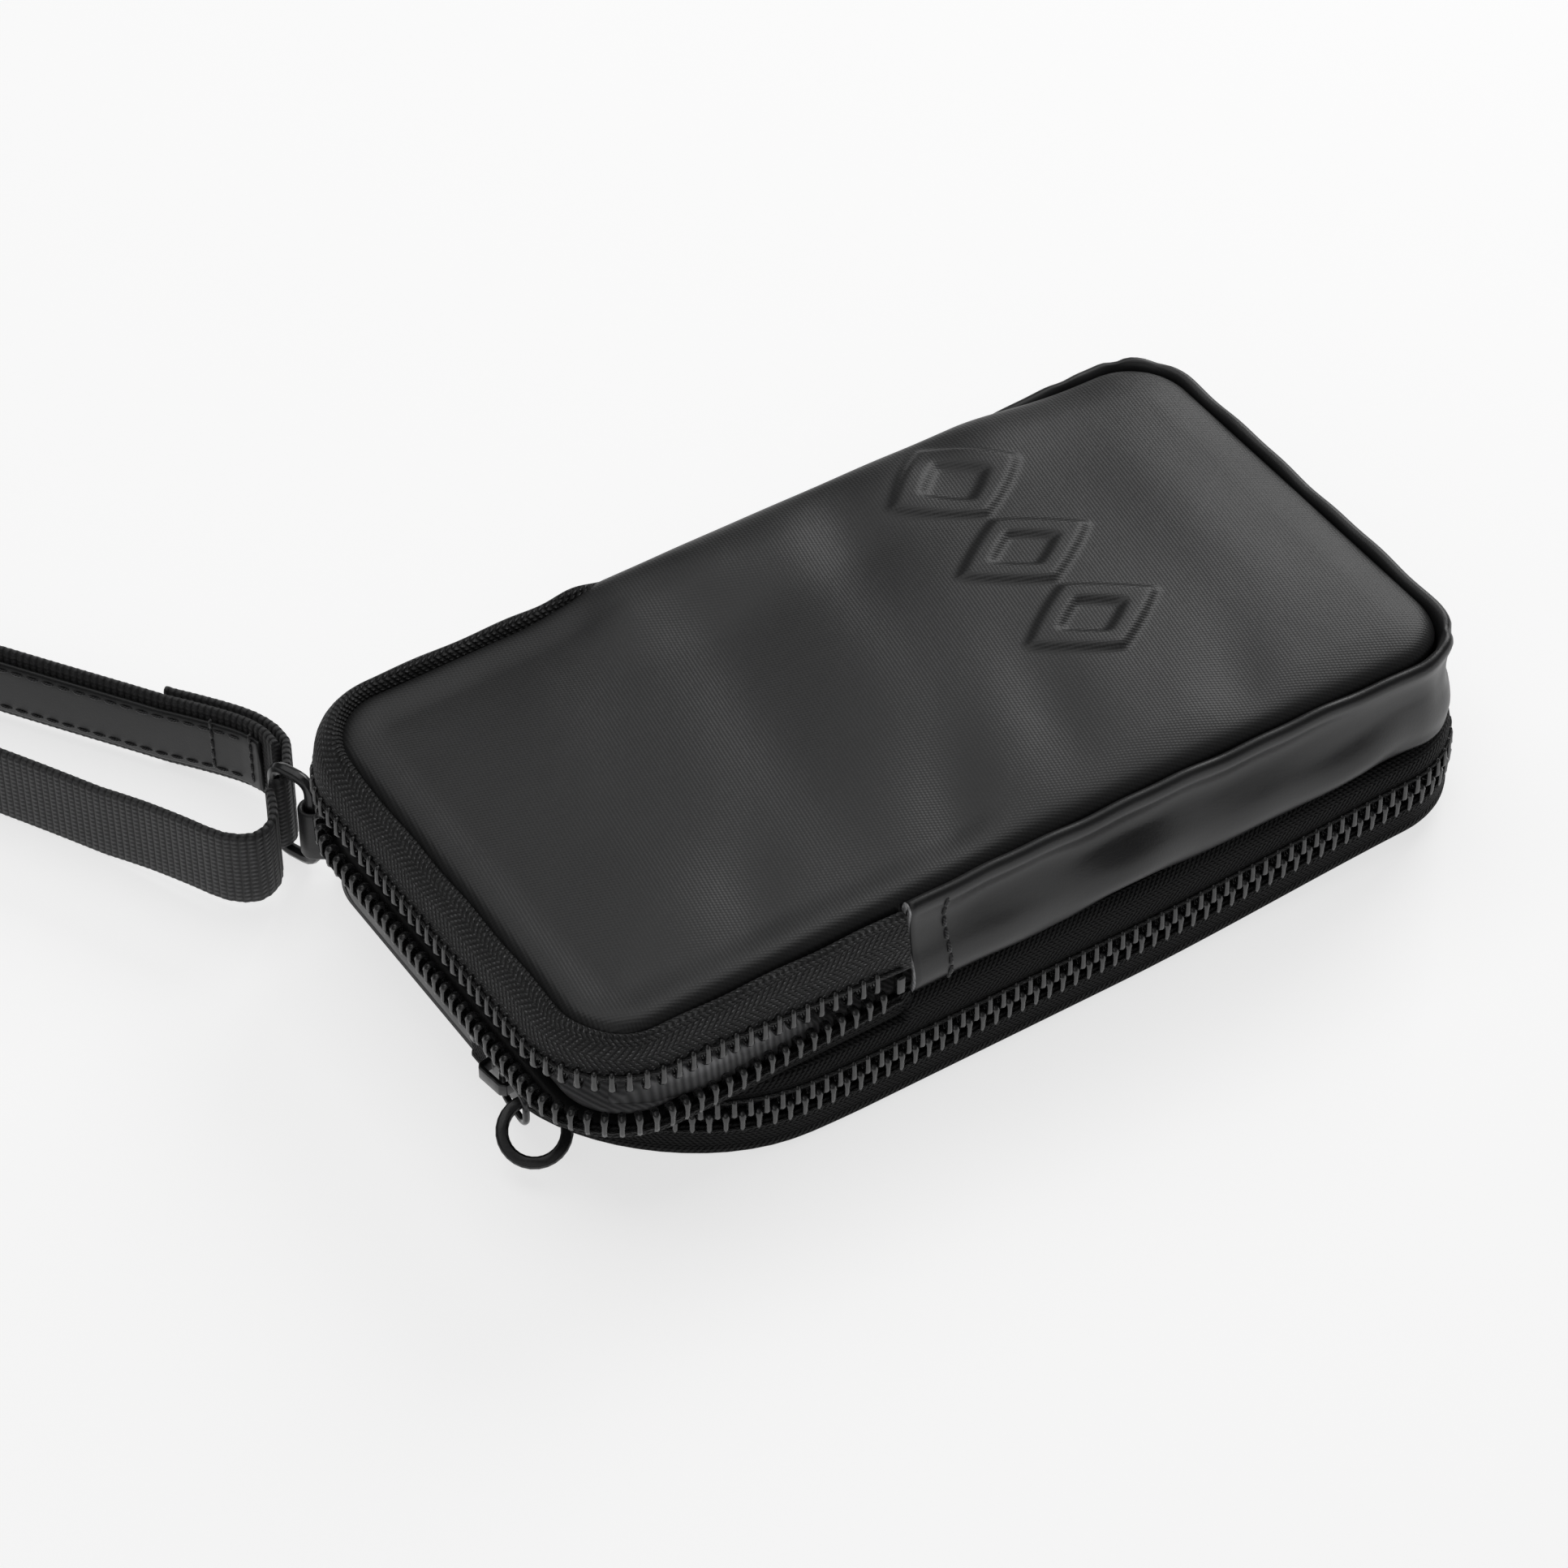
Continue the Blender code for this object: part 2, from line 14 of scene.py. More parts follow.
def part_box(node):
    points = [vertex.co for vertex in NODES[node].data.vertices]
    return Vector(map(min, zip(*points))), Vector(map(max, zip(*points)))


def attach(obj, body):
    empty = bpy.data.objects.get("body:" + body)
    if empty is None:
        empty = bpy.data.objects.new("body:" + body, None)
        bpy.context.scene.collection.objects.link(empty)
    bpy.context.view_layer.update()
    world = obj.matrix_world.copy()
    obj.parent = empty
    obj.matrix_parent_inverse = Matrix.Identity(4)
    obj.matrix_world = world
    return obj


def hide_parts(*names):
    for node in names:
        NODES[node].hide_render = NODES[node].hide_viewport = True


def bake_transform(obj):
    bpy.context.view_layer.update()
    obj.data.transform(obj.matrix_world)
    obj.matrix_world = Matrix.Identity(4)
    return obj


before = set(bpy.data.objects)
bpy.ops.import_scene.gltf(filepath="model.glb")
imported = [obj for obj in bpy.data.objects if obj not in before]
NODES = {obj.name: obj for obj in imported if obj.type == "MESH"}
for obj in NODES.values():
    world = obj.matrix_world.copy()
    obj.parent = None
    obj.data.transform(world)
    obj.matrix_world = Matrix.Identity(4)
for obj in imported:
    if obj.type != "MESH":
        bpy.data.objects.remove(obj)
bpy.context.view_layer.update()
MM = 0.001


def box(node):
    low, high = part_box(node)
    return low / MM, high / MM


# Camera
LENS, SENSOR = 121.1, 36.0
AZIMUTH, ELEVATION, DISTANCE = -33.23, 44.37, 869.5
TARGET = (-6.4, 20.5, 0.0)

# Upper compartment
PANEL_X, PANEL_Y = box("front_panel")[1].x, box("front_panel")[1].y
PANEL_Z = box("front_panel")[1].z
PANEL_R = 13.0
CREASE_IN = 1.6                 # from the panel's outline in to the bottom of the crease
GUSSET_X, GUSSET_Y, GUSSET_R = 84.0, 44.8, 12.0
GUSSET_LOW = 19.4
FLAP_X = box("upper_gusset")[0].x
LIP_X, LIP_Y, LIP_R = 85.3, 45.4, 16.0
UPPER_CHAIN_Z = 23.2
MOUTH_X = -28.4                 # where the upper zip's teeth start
MOUTH_RUN = 36.0                # over which the open zip's rows part
TIPS_UP, TIPS_DOWN = 0.6, 0.2   # the rows' tips pass the chain's middle by these where closed
PART_UP, PART_DOWN = 2.8, 2.3   # and stand apart by these more where open
CLOSED_END_OUT = 1.0            # the filled front reaches this far past its CAD edge
CROWN, ARCH = 1.7, 0.6          # the filling's height, and the seam's rise along its middle
EDGE_DROP = 2.1                 # from the front's top down to its edge in the crease
FAR_ROLL = 3.4                  # how far the far edge rolls out and drops

# Lower compartment
LOWER_X0, LOWER_X1, LOWER_Y = -80.3, 86.0, 46.3
NEAR_LEFT_R, NEAR_RIGHT_R, FAR_R = 35.0, 16.0, 12.0
LOWER_CHAIN_Z = 8.8
ZIP_START_Y = box("lower_zip_teeth_top")[1].y
ZIP_END_Y = -7.0
FAR_Y = 45.2
INNER_RADII = [31, 14, 8.5, 8.5]
SPINE_X0, SPINE_X1 = -66.4, 70.4    # where the end gussets meet the spine

# Teeth
PITCH = 2.54
CORD_OUT = 0.62                 # from the tape's middle out to each sewing line

# Strap
STRAP_W, STRAP_T, STRAP_LOW = 15.0, 1.4, 0.6
WEBBING_RIB = 1.25
OVERLAY_OUT = 1.45              # from the webbing's middle to the overlay's
STRAP_RING_OUT, STRAP_RING_MID_Z, STRAP_RISE = (-83.2, 52.7), 10.4, 28.0
STRAP_ROUTE = [
    (-79.7, 58.4), (-79.5, 62.0), (-80.6, 66.4), (-83.4, 71.8), (-89.0, 80.7), (-95.3, 90.0),
    (-100.9, 98.2), (-106.3, 106.2), (-112.0, 114.6), (-117.7, 123.2), (-123.1, 132.0),
    (-128.4, 141.0), (-134.0, 150.3), (-140.6, 157.6), (-148.6, 160.0), (-154.9, 155.0),
    (-154.9, 146.6), (-150.8, 138.0), (-145.3, 129.4), (-139.6, 120.6), (-133.9, 111.6),
    (-128.3, 102.6), (-122.8, 93.6), (-117.5, 84.6), (-112.6, 76.0), (-108.0, 67.6),
    (-103.4, 59.2), (-99.7, 51.6), (-96.6, 45.6), (-92.6, 42.6), (-88.8, 43.6), (-86.8, 46.6),
    (-85.8, 49.6),
]


# ---- materials

class Shader:
    """A material with its Principled shader and short ways to add nodes."""

    def __init__(self, name, color, roughness):
        self.material = bpy.data.materials.new(name)
        self.material.use_nodes = True
        self.tree = self.material.node_tree
        self.shader = self.tree.nodes["Principled BSDF"]
        self.set("Base Color", (*color, 1.0))
        self.set("Roughness", roughness)

    def set(self, socket, value):
        self.shader.inputs[socket].default_value = value

    def node(self, kind, **inputs):
        """A new node. Upper-case keywords are properties, the others are input sockets, by
        name or, with a leading i, by number."""
        made = self.tree.nodes.new("ShaderNode" + kind)
        for key, value in inputs.items():
            if key.isupper():
                setattr(made, key.lower(), value)
                continue
            numbered = key[0] == "i" and key[1:].isdigit()
            socket = made.inputs[int(key[1:])] if numbered else made.inputs[key.replace("_", " ")]
            if isinstance(value, bpy.types.NodeSocket):
                self.tree.links.new(value, socket)
            else:
                socket.default_value = value
        return made

    def math(self, operation, a, b=0.0, c=0.0):
        return self.node("Math", OPERATION=operation, i0=a, i1=b, i2=c).outputs[0]

    def times(self, a, b):
        return self.math("MULTIPLY", a, b)

    def times_plus(self, a, b, c):
        return self.math("MULTIPLY_ADD", a, b, c)

    def place(self):
        """The point in object coordinates, in metres."""
        return self.node("TexCoord").outputs["Object"]

    def lay(self):
        """(along, across) on a strip, in millimetres."""
        split = self.node("SeparateXYZ", i0=self.node("Attribute", ATTRIBUTE_NAME="lay").outputs["Vector"])
        return split.outputs[0], split.outputs[1]

    def noise(self, scale, detail=2.0):
        return self.node("TexNoise", Vector=self.place(), Scale=scale, Detail=detail).outputs[0]

    def ripple(self, value, length):
        """From 0 to 1 and back, once for each length."""
        turn = self.times(value, math.tau / length)
        return self.times_plus(self.math("SINE", turn), 0.5, 0.5)

    def spread(self, value, low, high, to_low=0.0, to_high=1.0):
        """value from low..high put on to_low..to_high, held at the ends."""
        return self.node("MapRange", i0=value, i1=low, i2=high, i3=to_low, i4=to_high).outputs[0]

    def color(self, factor, dark, light):
        mixed = self.node("Mix", DATA_TYPE="RGBA", i0=factor, i6=(*dark, 1.0), i7=(*light, 1.0))
        self.tree.links.new(mixed.outputs[2], self.shader.inputs["Base Color"])

    def rough(self, factor, low, high):
        self.tree.links.new(self.spread(factor, 0.0, 1.0, low, high),
                            self.shader.inputs["Roughness"])

    def bump(self, height, distance, strength=1.0):
        """Adds a bump of that depth in millimetres, on top of any before it."""
        made = self.node("Bump", Strength=strength, Distance=distance * MM, Height=height)
        before = self.shader.inputs["Normal"].links
        if before:
            self.tree.links.new(before[0].from_socket, made.inputs["Normal"])
        self.tree.links.new(made.outputs[0], self.shader.inputs["Normal"])


def canvas():
    """Coated canvas: matte, with a fine twill showing through the coating."""
    m = Shader("coated_canvas", (0.022, 0.0222, 0.023), 0.46)
    spot = m.node("SeparateXYZ", i0=m.place())
    x, y = spot.outputs[0], spot.outputs[1]
    twill = m.math("SINE", m.times(m.math("ADD", x, m.times(y, 0.62)), 7600))
    cross = m.math("SINE", m.times(m.math("SUBTRACT", y, m.times(x, 0.45)), 6300))
    weave = m.times_plus(m.times(twill, cross), 0.5, 0.5)
    cloud = m.noise(60, 3)
    grain = m.noise(2600, 2)
    m.color(m.times(weave, m.spread(cloud, 0.3, 0.7, 0.55, 1.0)),
            (0.0105, 0.0106, 0.0109), (0.0195, 0.0197, 0.0203))
    m.rough(m.times_plus(weave, 0.35, m.times(cloud, 0.5)), 0.36, 0.54)
    m.bump(weave, 0.08, 0.45)
    m.bump(grain, 0.03, 0.4)
    m.bump(m.noise(140, 3), 0.25, 0.35)
    return m.material


def smooth_leather(name="smooth_leather", tone=0.45, rough=0.34):
    """The coated band: smooth, with a very fine grain and faint cloudy wear."""
    m = Shader(name, (0.03 * tone,) * 3, rough)
    cloud = m.noise(90, 4)
    m.color(m.spread(cloud, 0.3, 0.7), (0.022 * tone, 0.0222 * tone, 0.0235 * tone),
            (0.036 * tone, 0.0365 * tone, 0.038 * tone))
    m.rough(cloud, rough - 0.05, rough + 0.1)
    pores = m.node("TexVoronoi", FEATURE="DISTANCE_TO_EDGE", Vector=m.place(), Scale=1500.0)
    m.bump(m.spread(pores.outputs[0], 0.0, 0.12), 0.03, 0.25)
    m.bump(m.noise(420, 3), 0.08, 0.35)
    return m.material


def herringbone(name="zip_tape", rib=1.15, glint=0.28, gloss=0.45):
    """Woven zip tape: ribs that lean one way and then the other across its width. The rib tops carry
    painted glints in the base colour.
    """
    m = Shader(name, (0.006, 0.006, 0.0062), 0.7)
    m.set("Specular IOR Level", gloss)
    along, across = m.lay()
    lean = m.math("PINGPONG", across, 2.2)
    rib_height = m.ripple(m.math("ADD", along, m.times(lean, 0.95)), rib)
    knots = m.ripple(across, 0.55)
    weave = m.times(rib_height, m.times_plus(knots, 0.6, 0.4))
    fibre = m.noise(3800, 3)
    # Painted highlight: bright glint colour on the fibres of the rib tops, in the base colour.
    painted_glint = m.times(m.math("POWER", weave, 2.2), m.spread(fibre, 0.42, 0.72))
    m.color(painted_glint, (0.0025, 0.0025, 0.0027), (glint, glint, glint * 1.03))
    m.rough(fibre, 0.5, 0.8)
    m.bump(weave, 0.45, 1.0)
    m.bump(fibre, 0.10, 0.5)
    return m.material


def ribbed_webbing():
    """Strap webbing: ribs across the strap, with finer yarns along it."""
    m = Shader("webbing", (0.02, 0.02, 0.021), 0.75)
    m.set("Sheen Weight", 0.12)
    along, across = m.lay()
    rib, yarn = m.ripple(along, WEBBING_RIB), m.ripple(across, 0.9)
    weave = m.times(m.math("POWER", rib, 0.6), m.times_plus(yarn, 0.45, 0.55))
    fibre = m.noise(3000, 3)
    m.color(m.times(weave, m.spread(fibre, 0.35, 0.7, 0.4, 1.0)),
            (0.004, 0.004, 0.0045), (0.060, 0.060, 0.062))
    m.rough(fibre, 0.55, 0.8)
    m.bump(weave, 0.4, 1.0)
    m.bump(fibre, 0.08, 0.4)
    return m.material


def ribbed_lining():
    """Light grey lining with fine ribs."""
    m = Shader("lining", (0.3, 0.3, 0.31), 0.7)
    m.set("Sheen Weight", 0.15)
    spot = m.node("SeparateXYZ", i0=m.place())
    slope = m.math("ADD", spot.outputs[0], m.times(spot.outputs[1], 0.4))
    rib = m.ripple(slope, 0.0011)
    fibre = m.noise(2400, 3)
    m.color(m.times_plus(rib, 0.7, m.times(fibre, 0.3)),
            (0.15, 0.15, 0.155), (0.42, 0.42, 0.43))
    m.rough(fibre, 0.55, 0.8)
    m.bump(rib, 0.16, 0.7)
    m.bump(fibre, 0.05, 0.5)
    return m.material


def open_foam():
    m = Shader("foam", (0.08, 0.08, 0.085), 0.9)
    cells = m.node("TexVoronoi", FEATURE="F1", Vector=m.place(), Scale=1300.0)
    m.color(m.spread(cells.outputs[0], 0.0, 0.8), (0.10, 0.10, 0.105), (0.045, 0.045, 0.048))
    m.bump(m.spread(cells.outputs[0], 0.0, 0.7, 1.0, 0.0), 0.3, 0.8)
    return m.material


def gloss_tooth():
    """Moulded nylon: dark and glossy, slightly uneven."""
    m = Shader("zip_teeth", (0.012, 0.012, 0.0125), 0.24)
    m.set("Specular IOR Level", 0.8)
    cloud = m.noise(700, 2)
    m.color(m.spread(cloud, 0.3, 0.7), (0.007, 0.007, 0.0073), (0.022, 0.022, 0.023))
    m.rough(cloud, 0.16, 0.36)
    m.bump(m.noise(1800, 2), 0.04, 0.5)
    return m.material


def enamel():
    """Black enamel over die-cast metal, with worn edges."""
    m = Shader("black_enamel", (0.02, 0.02, 0.021), 0.25)
    m.set("Metallic", 0.55)
    m.set("Coat Weight", 0.5)
    m.set("Coat Roughness", 0.18)
    cloud = m.noise(500, 4)
    edge = m.node("NewGeometry").outputs["Pointiness"]
    worn = m.times(m.spread(edge, 0.52, 0.6), m.spread(cloud, 0.45, 0.65))
    m.color(worn, (0.014, 0.014, 0.015), (0.16, 0.16, 0.165))
    m.rough(cloud, 0.20, 0.40)
    m.bump(m.noise(900, 3), 0.05, 0.4)
    return m.material


def thread():
    m = Shader("thread", (0.03, 0.03, 0.031), 0.6)
    m.set("Sheen Weight", 0.2)
    along, across = m.lay()
    twist = m.math("ADD", m.times(along, math.tau / 0.5), m.times(across, 2.0))
    ply = m.times_plus(m.math("SINE", twist), 0.5, 0.5)
    m.color(ply, (0.012, 0.012, 0.013), (0.06, 0.06, 0.062))
    m.bump(ply, 0.08, 0.8)
    return m.material


def raw_edge():
    """The cut edge of the band, where the pale core shows."""
    m = Shader("raw_edge", (0.3, 0.3, 0.3), 0.7)
    fibre = m.noise(1500, 3)
    m.color(m.spread(fibre, 0.35, 0.65), (0.18, 0.18, 0.185), (0.55, 0.55, 0.56))
    m.bump(fibre, 0.1, 0.6)
    return m.material


CANVAS = canvas()
LEATHER = smooth_leather()
STRAP_LEATHER = smooth_leather("strap_leather", 0.5, 0.42)
TAPE = herringbone()
# Painted shade: the same zip tape as a darker copy, its painted glints nearly off and its gloss low, for
# the mouth's inner tape and the lower zip's tapes.
SHADED_TAPE = herringbone("zip_tape_shaded_copy", 1.0, 0.022, 0.15)
WEBBING = ribbed_webbing()
LINING = ribbed_lining()
FOAM = open_foam()
TOOTH = gloss_tooth()
ENAMEL = enamel()
THREAD = thread()
RAW_EDGE = raw_edge()


# ---- mesh making

def new_object(name, data):
    obj = bpy.data.objects.new(name, data)
    bpy.context.scene.collection.objects.link(obj)
    return obj


def add_piece(name, points, faces, material, lay=None):
    """A new mesh object from points in millimetres. lay is (along, across) for each point."""
    mesh = bpy.data.meshes.new(name)
    mesh.from_pydata([tuple(c * MM for c in p) for p in points], [], faces)
    if lay is not None:
        attribute = mesh.attributes.new("lay", "FLOAT_VECTOR", "POINT")
        flat = np.array([(a, b, 0.0) for a, b in lay], np.float32)
        attribute.data.foreach_set("vector", flat.ravel())
    mesh.validate()
    obj = new_object(name, mesh)
    mesh.materials.append(material)
    mesh.shade_smooth()
    return obj


def facing_out(obj):
    """Turns the faces of a closed mesh to point out."""
    bm = bmesh.new()
    bm.from_mesh(obj.data)
    bmesh.ops.recalc_face_normals(bm, faces=bm.faces)
    bm.to_mesh(obj.data)
    bm.free()
    return obj


def thicken(obj, thickness, offset=-1.0, rim=None):
    mod = obj.modifiers.new("thickness", "SOLIDIFY")
    mod.thickness = thickness * MM
    mod.offset = offset
    mod.use_even_offset = False
    if rim is not None:
        obj.data.materials.append(rim)
        mod.material_offset_rim = 1
    return obj


def apply_modifiers(obj):
    graph = bpy.context.evaluated_depsgraph_get()
    mesh = bpy.data.meshes.new_from_object(obj.evaluated_get(graph))
    old = obj.data
    obj.modifiers.clear()
    obj.data = mesh
    bpy.data.meshes.remove(old)
    return obj


def grid_faces(rows, cols, closed_cols=False):
    faces = []
    for r in range(rows - 1):
        for c in range(cols if closed_cols else cols - 1):
            d = (c + 1) % cols
            faces.append((r * cols + c, r * cols + d, (r + 1) * cols + d, (r + 1) * cols + c))
    return faces


def tube_faces(first, rings, sides):
    """A tube's faces, both ends capped, for rings of points that begin at number first."""
    faces = [tuple(first + v for v in f) for f in grid_faces(rings, sides, closed_cols=True)]
    faces.append(tuple(first + k for k in reversed(range(sides))))
    faces.append(tuple(first + (rings - 1) * sides + k for k in range(sides)))
    return faces


def distances(line):
    """How far along a line each of its points is."""
    at = [0.0]
    for a, b in zip(line, line[1:]):
        at.append(at[-1] + (b - a).length)
    return at


def finish_piece(obj, body, slot, *nodes):
    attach(obj, body)
    if nodes:
        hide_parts(*nodes)
    return obj


def corner_arc(before, corner, after, radius, steps):
    c = Vector(corner)
    to_before, to_after = (Vector(before) - c).normalized(), (Vector(after) - c).normalized()
    half = to_before.angle(to_after) / 2
    centre = c + (to_before + to_after).normalized() * (radius / math.sin(half))
    start = c + to_before * (radius / math.tan(half)) - centre
    end = c + to_after * (radius / math.tan(half)) - centre
    turn = start.angle_signed(end)
    points = []
    for i in range(steps + 1):
        angle = -turn * i / steps
        cos, sin = math.cos(angle), math.sin(angle)
        points.append(Vector((centre.x + start.x * cos - start.y * sin,
                              centre.y + start.x * sin + start.y * cos)))
    return points


def rounded(corners, closed=False, steps=16):
    """A line through (x, y, radius) corners."""
    points = []
    count = len(corners)
    for i, (x, y, radius) in enumerate(corners):
        if radius == 0 or (not closed and i in (0, count - 1)):
            points.append(Vector((x, y)))
            continue
        points += corner_arc(corners[i - 1][:2], (x, y), corners[(i + 1) % count][:2], radius, steps)
    return points


class Track:
    """A plan line cut into even steps, with the distance along it and its outward side."""

    def __init__(self, points, step, closed=False):
        points = [Vector(p) for p in points]
        if closed:
            points.append(points[0])
        at = distances(points)
        self.length = at[-1]
        count = max(2, round(self.length / step))
        xs = np.interp(np.linspace(0, self.length, count + 1), at, [p.x for p in points])
        ys = np.interp(np.linspace(0, self.length, count + 1), at, [p.y for p in points])
        self.at = [self.length * i / count for i in range(count + 1)]
        self.points = [Vector((x, y)) for x, y in zip(xs, ys)]
        self.closed = closed
        if closed:
            self.points.pop()
            self.at.pop()
        self.sides = []
        n = len(self.points)
        for i in range(n):
            a = self.points[i - 1] if closed else self.points[max(i - 1, 0)]
            b = self.points[(i + 1) % n] if closed else self.points[min(i + 1, n - 1)]
            way = (b - a).normalized()
            self.sides.append(Vector((way.y, -way.x)))

    def where(self, distance):
        """The point, the way along and the outward side at a distance."""
        n = len(self.points)
        share = min(max(distance / self.length, 0.0), 1.0) * (n - 1)
        i = min(int(share), n - 2)
        t = share - i
        point = self.points[i].lerp(self.points[i + 1], t)
        side = self.sides[i].lerp(self.sides[i + 1], t).normalized()
        return point, Vector((-side.y, side.x)), side


def band(name, track, profile, material):
    """A sheet along a track. profile(point, distance) gives (out, height) pairs, top to bottom
    or bottom to top; the lay attribute holds the distances along and across."""
    points, lay = [], []
    cols = None
    for point, side, at in zip(track.points, track.sides, track.at):
        pairs = profile(point, at)
        cols = len(pairs)
        across = 0.0
        for k, (out, z) in enumerate(pairs):
            if k:
                across += math.hypot(out - pairs[k - 1][0], z - pairs[k - 1][1])
            points.append((point.x + side.x * out, point.y + side.y * out, z))
            lay.append((at, across))
    rows = len(track.points)
    faces = grid_faces(rows, cols)
    if track.closed:
        last = (rows - 1) * cols
        faces += [(last + c, last + c + 1, c + 1, c) for c in range(cols - 1)]
    return add_piece(name, points, faces, material, lay)


def wave(value, *terms):
    """A sum of sines: (height, length, shift) for each."""
    return sum(h * math.sin(math.tau * (value / length + shift)) for h, length, shift in terms)


def eased(value):
    value = min(max(value, 0.0), 1.0)
    return value * value * (3 - 2 * value)


def smooth_line(points, steps=2):
    """A Catmull-Rom line through the points."""
    pts = [Vector(p) for p in points]
    made = []
    for i in range(len(pts) - 1):
        a, b, c, d = pts[max(i - 1, 0)], pts[i], pts[i + 1], pts[min(i + 2, len(pts) - 1)]
        for k in range(steps):
            t = k / steps
            made.append(0.5 * (2 * b + (c - a) * t + (2 * a - 5 * b + 4 * c - d) * t * t
                               + (3 * b - a - 3 * c + d) * t ** 3))
    made.append(pts[-1])
    return made


# ---- shared shapes

def mouth_share(x):
    return min(max((MOUTH_X - x) / MOUTH_RUN, 0.0), 1.0)


def upper_tip(x):
    """Height of the upper row's tips."""
    return UPPER_CHAIN_Z + TIPS_UP + PART_UP * mouth_share(x)


def lower_tip(x):
    return UPPER_CHAIN_Z - TIPS_DOWN - PART_DOWN * mouth_share(x)


def mouth_track(x_end, half_x, half_y, radius, step):
    return Track(rounded([(x_end, -half_y, 0), (-half_x, -half_y, radius), (-half_x, half_y, radius),
                          (x_end, half_y, 0)])[::-1], step)


def lower_track(start_y, end_y, step):
    return Track(rounded([(LOWER_X1, start_y, 0), (LOWER_X1, -LOWER_Y, NEAR_RIGHT_R),
                          (LOWER_X0, -LOWER_Y, NEAR_LEFT_R), (LOWER_X0, end_y, 0)])[::-1], step)


class Outline:
    """A rounded rectangle: x0, x1, y0, y1 and the radii of its near left, near right, far
    right and far left corners."""

    def __init__(self, x0, x1, y0, y1, radii):
        self.x0, self.x1, self.y0, self.y1, self.radii = x0, x1, y0, y1, radii

    def inset(self, d):
        return Outline(self.x0 + d, self.x1 - d, self.y0 + d, self.y1 - d,
                       [max(r - d, 1.0) for r in self.radii])

    def radius(self, x, y):
        near, left = y < (self.y0 + self.y1) / 2, x < (self.x0 + self.x1) / 2
        return self.radii[(0 if left else 1) if near else (3 if left else 2)]

    def depth(self, x, y):
        """Distance inside the edge."""
        r = self.radius(x, y)
        dx, dy = min(x - self.x0, self.x1 - x), min(y - self.y0, self.y1 - y)
        if dx < r and dy < r:
            return r - math.hypot(r - dx, r - dy)
        return min(dx, dy)

    def grid(self, step):
        """Rows of points; the corner squares are bent onto quarter discs."""
        nx = round((self.x1 - self.x0) / step) + 1
        ny = round((self.y1 - self.y0) / step) + 1
        points = []
        for x in np.linspace(self.x0, self.x1, nx):
            for y in np.linspace(self.y0, self.y1, ny):
                r = self.radius(x, y)
                left, near = x - self.x0 < self.x1 - x, y - self.y0 < self.y1 - y
                px = r - min(x - self.x0, self.x1 - x)
                py = r - min(y - self.y0, self.y1 - y)
                if px > 0 and py > 0:
                    qx = r - px * math.sqrt(1 - py * py / (2 * r * r))
                    qy = r - py * math.sqrt(1 - px * px / (2 * r * r))
                    x2 = self.x0 + qx if left else self.x1 - qx
                    y2 = self.y0 + qy if near else self.y1 - qy
                    points.append((float(x2), float(y2)))
                else:
                    points.append((float(x), float(y)))
        return points, nx, ny


def outline_of(node, radii):
    low, high = box(node)
    return Outline(low.x, high.x, low.y, high.y, radii)


FRONT = Outline(-PANEL_X, PANEL_X + CLOSED_END_OUT, -PANEL_Y, PANEL_Y, [PANEL_R] * 4).inset(CREASE_IN)
LOWER = Outline(LOWER_X0, LOWER_X1, -LOWER_Y, LOWER_Y, [NEAR_LEFT_R, NEAR_RIGHT_R, FAR_R, FAR_R])


def far_droop(x):
    """How far the panel has rolled out over its far seam: 0 to 1."""
    return eased((x + 44.0) / 18.0) * (1 - eased((x - 42.0) / 24.0))


def lift(x, y):
    """The near corners of the lower compartment curl up off the table."""
    right = 3.0 * eased((x - 12.0) / 66.0) * eased((20.0 - y) / 60.0)
    corner = math.hypot(x + 74.0, y + 42.0)
    return right + 2.2 * (1 - eased(corner / 40.0))


# Soft dents and ridges on the front: x, y, direction in degrees, half length, half width, height
DENTS = [
    (-8.0, -30.0, 62, 16, 6.0, -0.5), (-22.0, 6.0, 78, 34, 9.0, -0.5), (-2.0, 14.0, 84, 26, 8.0, 0.35),
    (16.0, -22.0, 74, 18, 6.5, -0.45), (12.0, 30.0, 70, 16, 7.0, -0.5), (-12.0, 38.0, 95, 10, 7.0, 0.5),
    (44.0, -34.0, 60, 12, 5.5, -0.35), (62.0, 6.0, 88, 24, 9.0, 0.35), (-48.0, 24.0, 70, 18, 9.0, 0.35),
    (-58.0, -22.0, 100, 14, 9.0, 0.3), (-44.0, -28.0, 60, 14, 6.0, -0.3), (34.0, 38.0, 82, 9, 6.0, -0.5),
    (-34.0, 40.0, 90, 9, 5.0, -0.5),
]

LOZENGE_X, LOZENGE_STEP, LOZENGE_A, LOZENGE_B, LOZENGE_W = 33.0, 19.0, 12.5, 8.6, 3.6
EMBOSS_H = 0.8


def emboss(x, y):
    """Three raised lozenge outlines in a row."""
    best = 0.0
    for k in (-1, 0, 1):
        u, v = abs(x - LOZENGE_X), abs(y - 10.0 - k * LOZENGE_STEP)
        size = 1.0 / math.hypot(1 / LOZENGE_A, 1 / LOZENGE_B)
        round_sum = ((u / LOZENGE_A) ** 1.1 + (v / LOZENGE_B) ** 1.1) ** (1 / 1.1)
        distance = (round_sum - 1.0) * size
        line = 1.0 - eased((abs(distance + LOZENGE_W / 2) - LOZENGE_W / 2 + 0.7) / 1.3)
        best = max(best, line)
    return EMBOSS_H * best


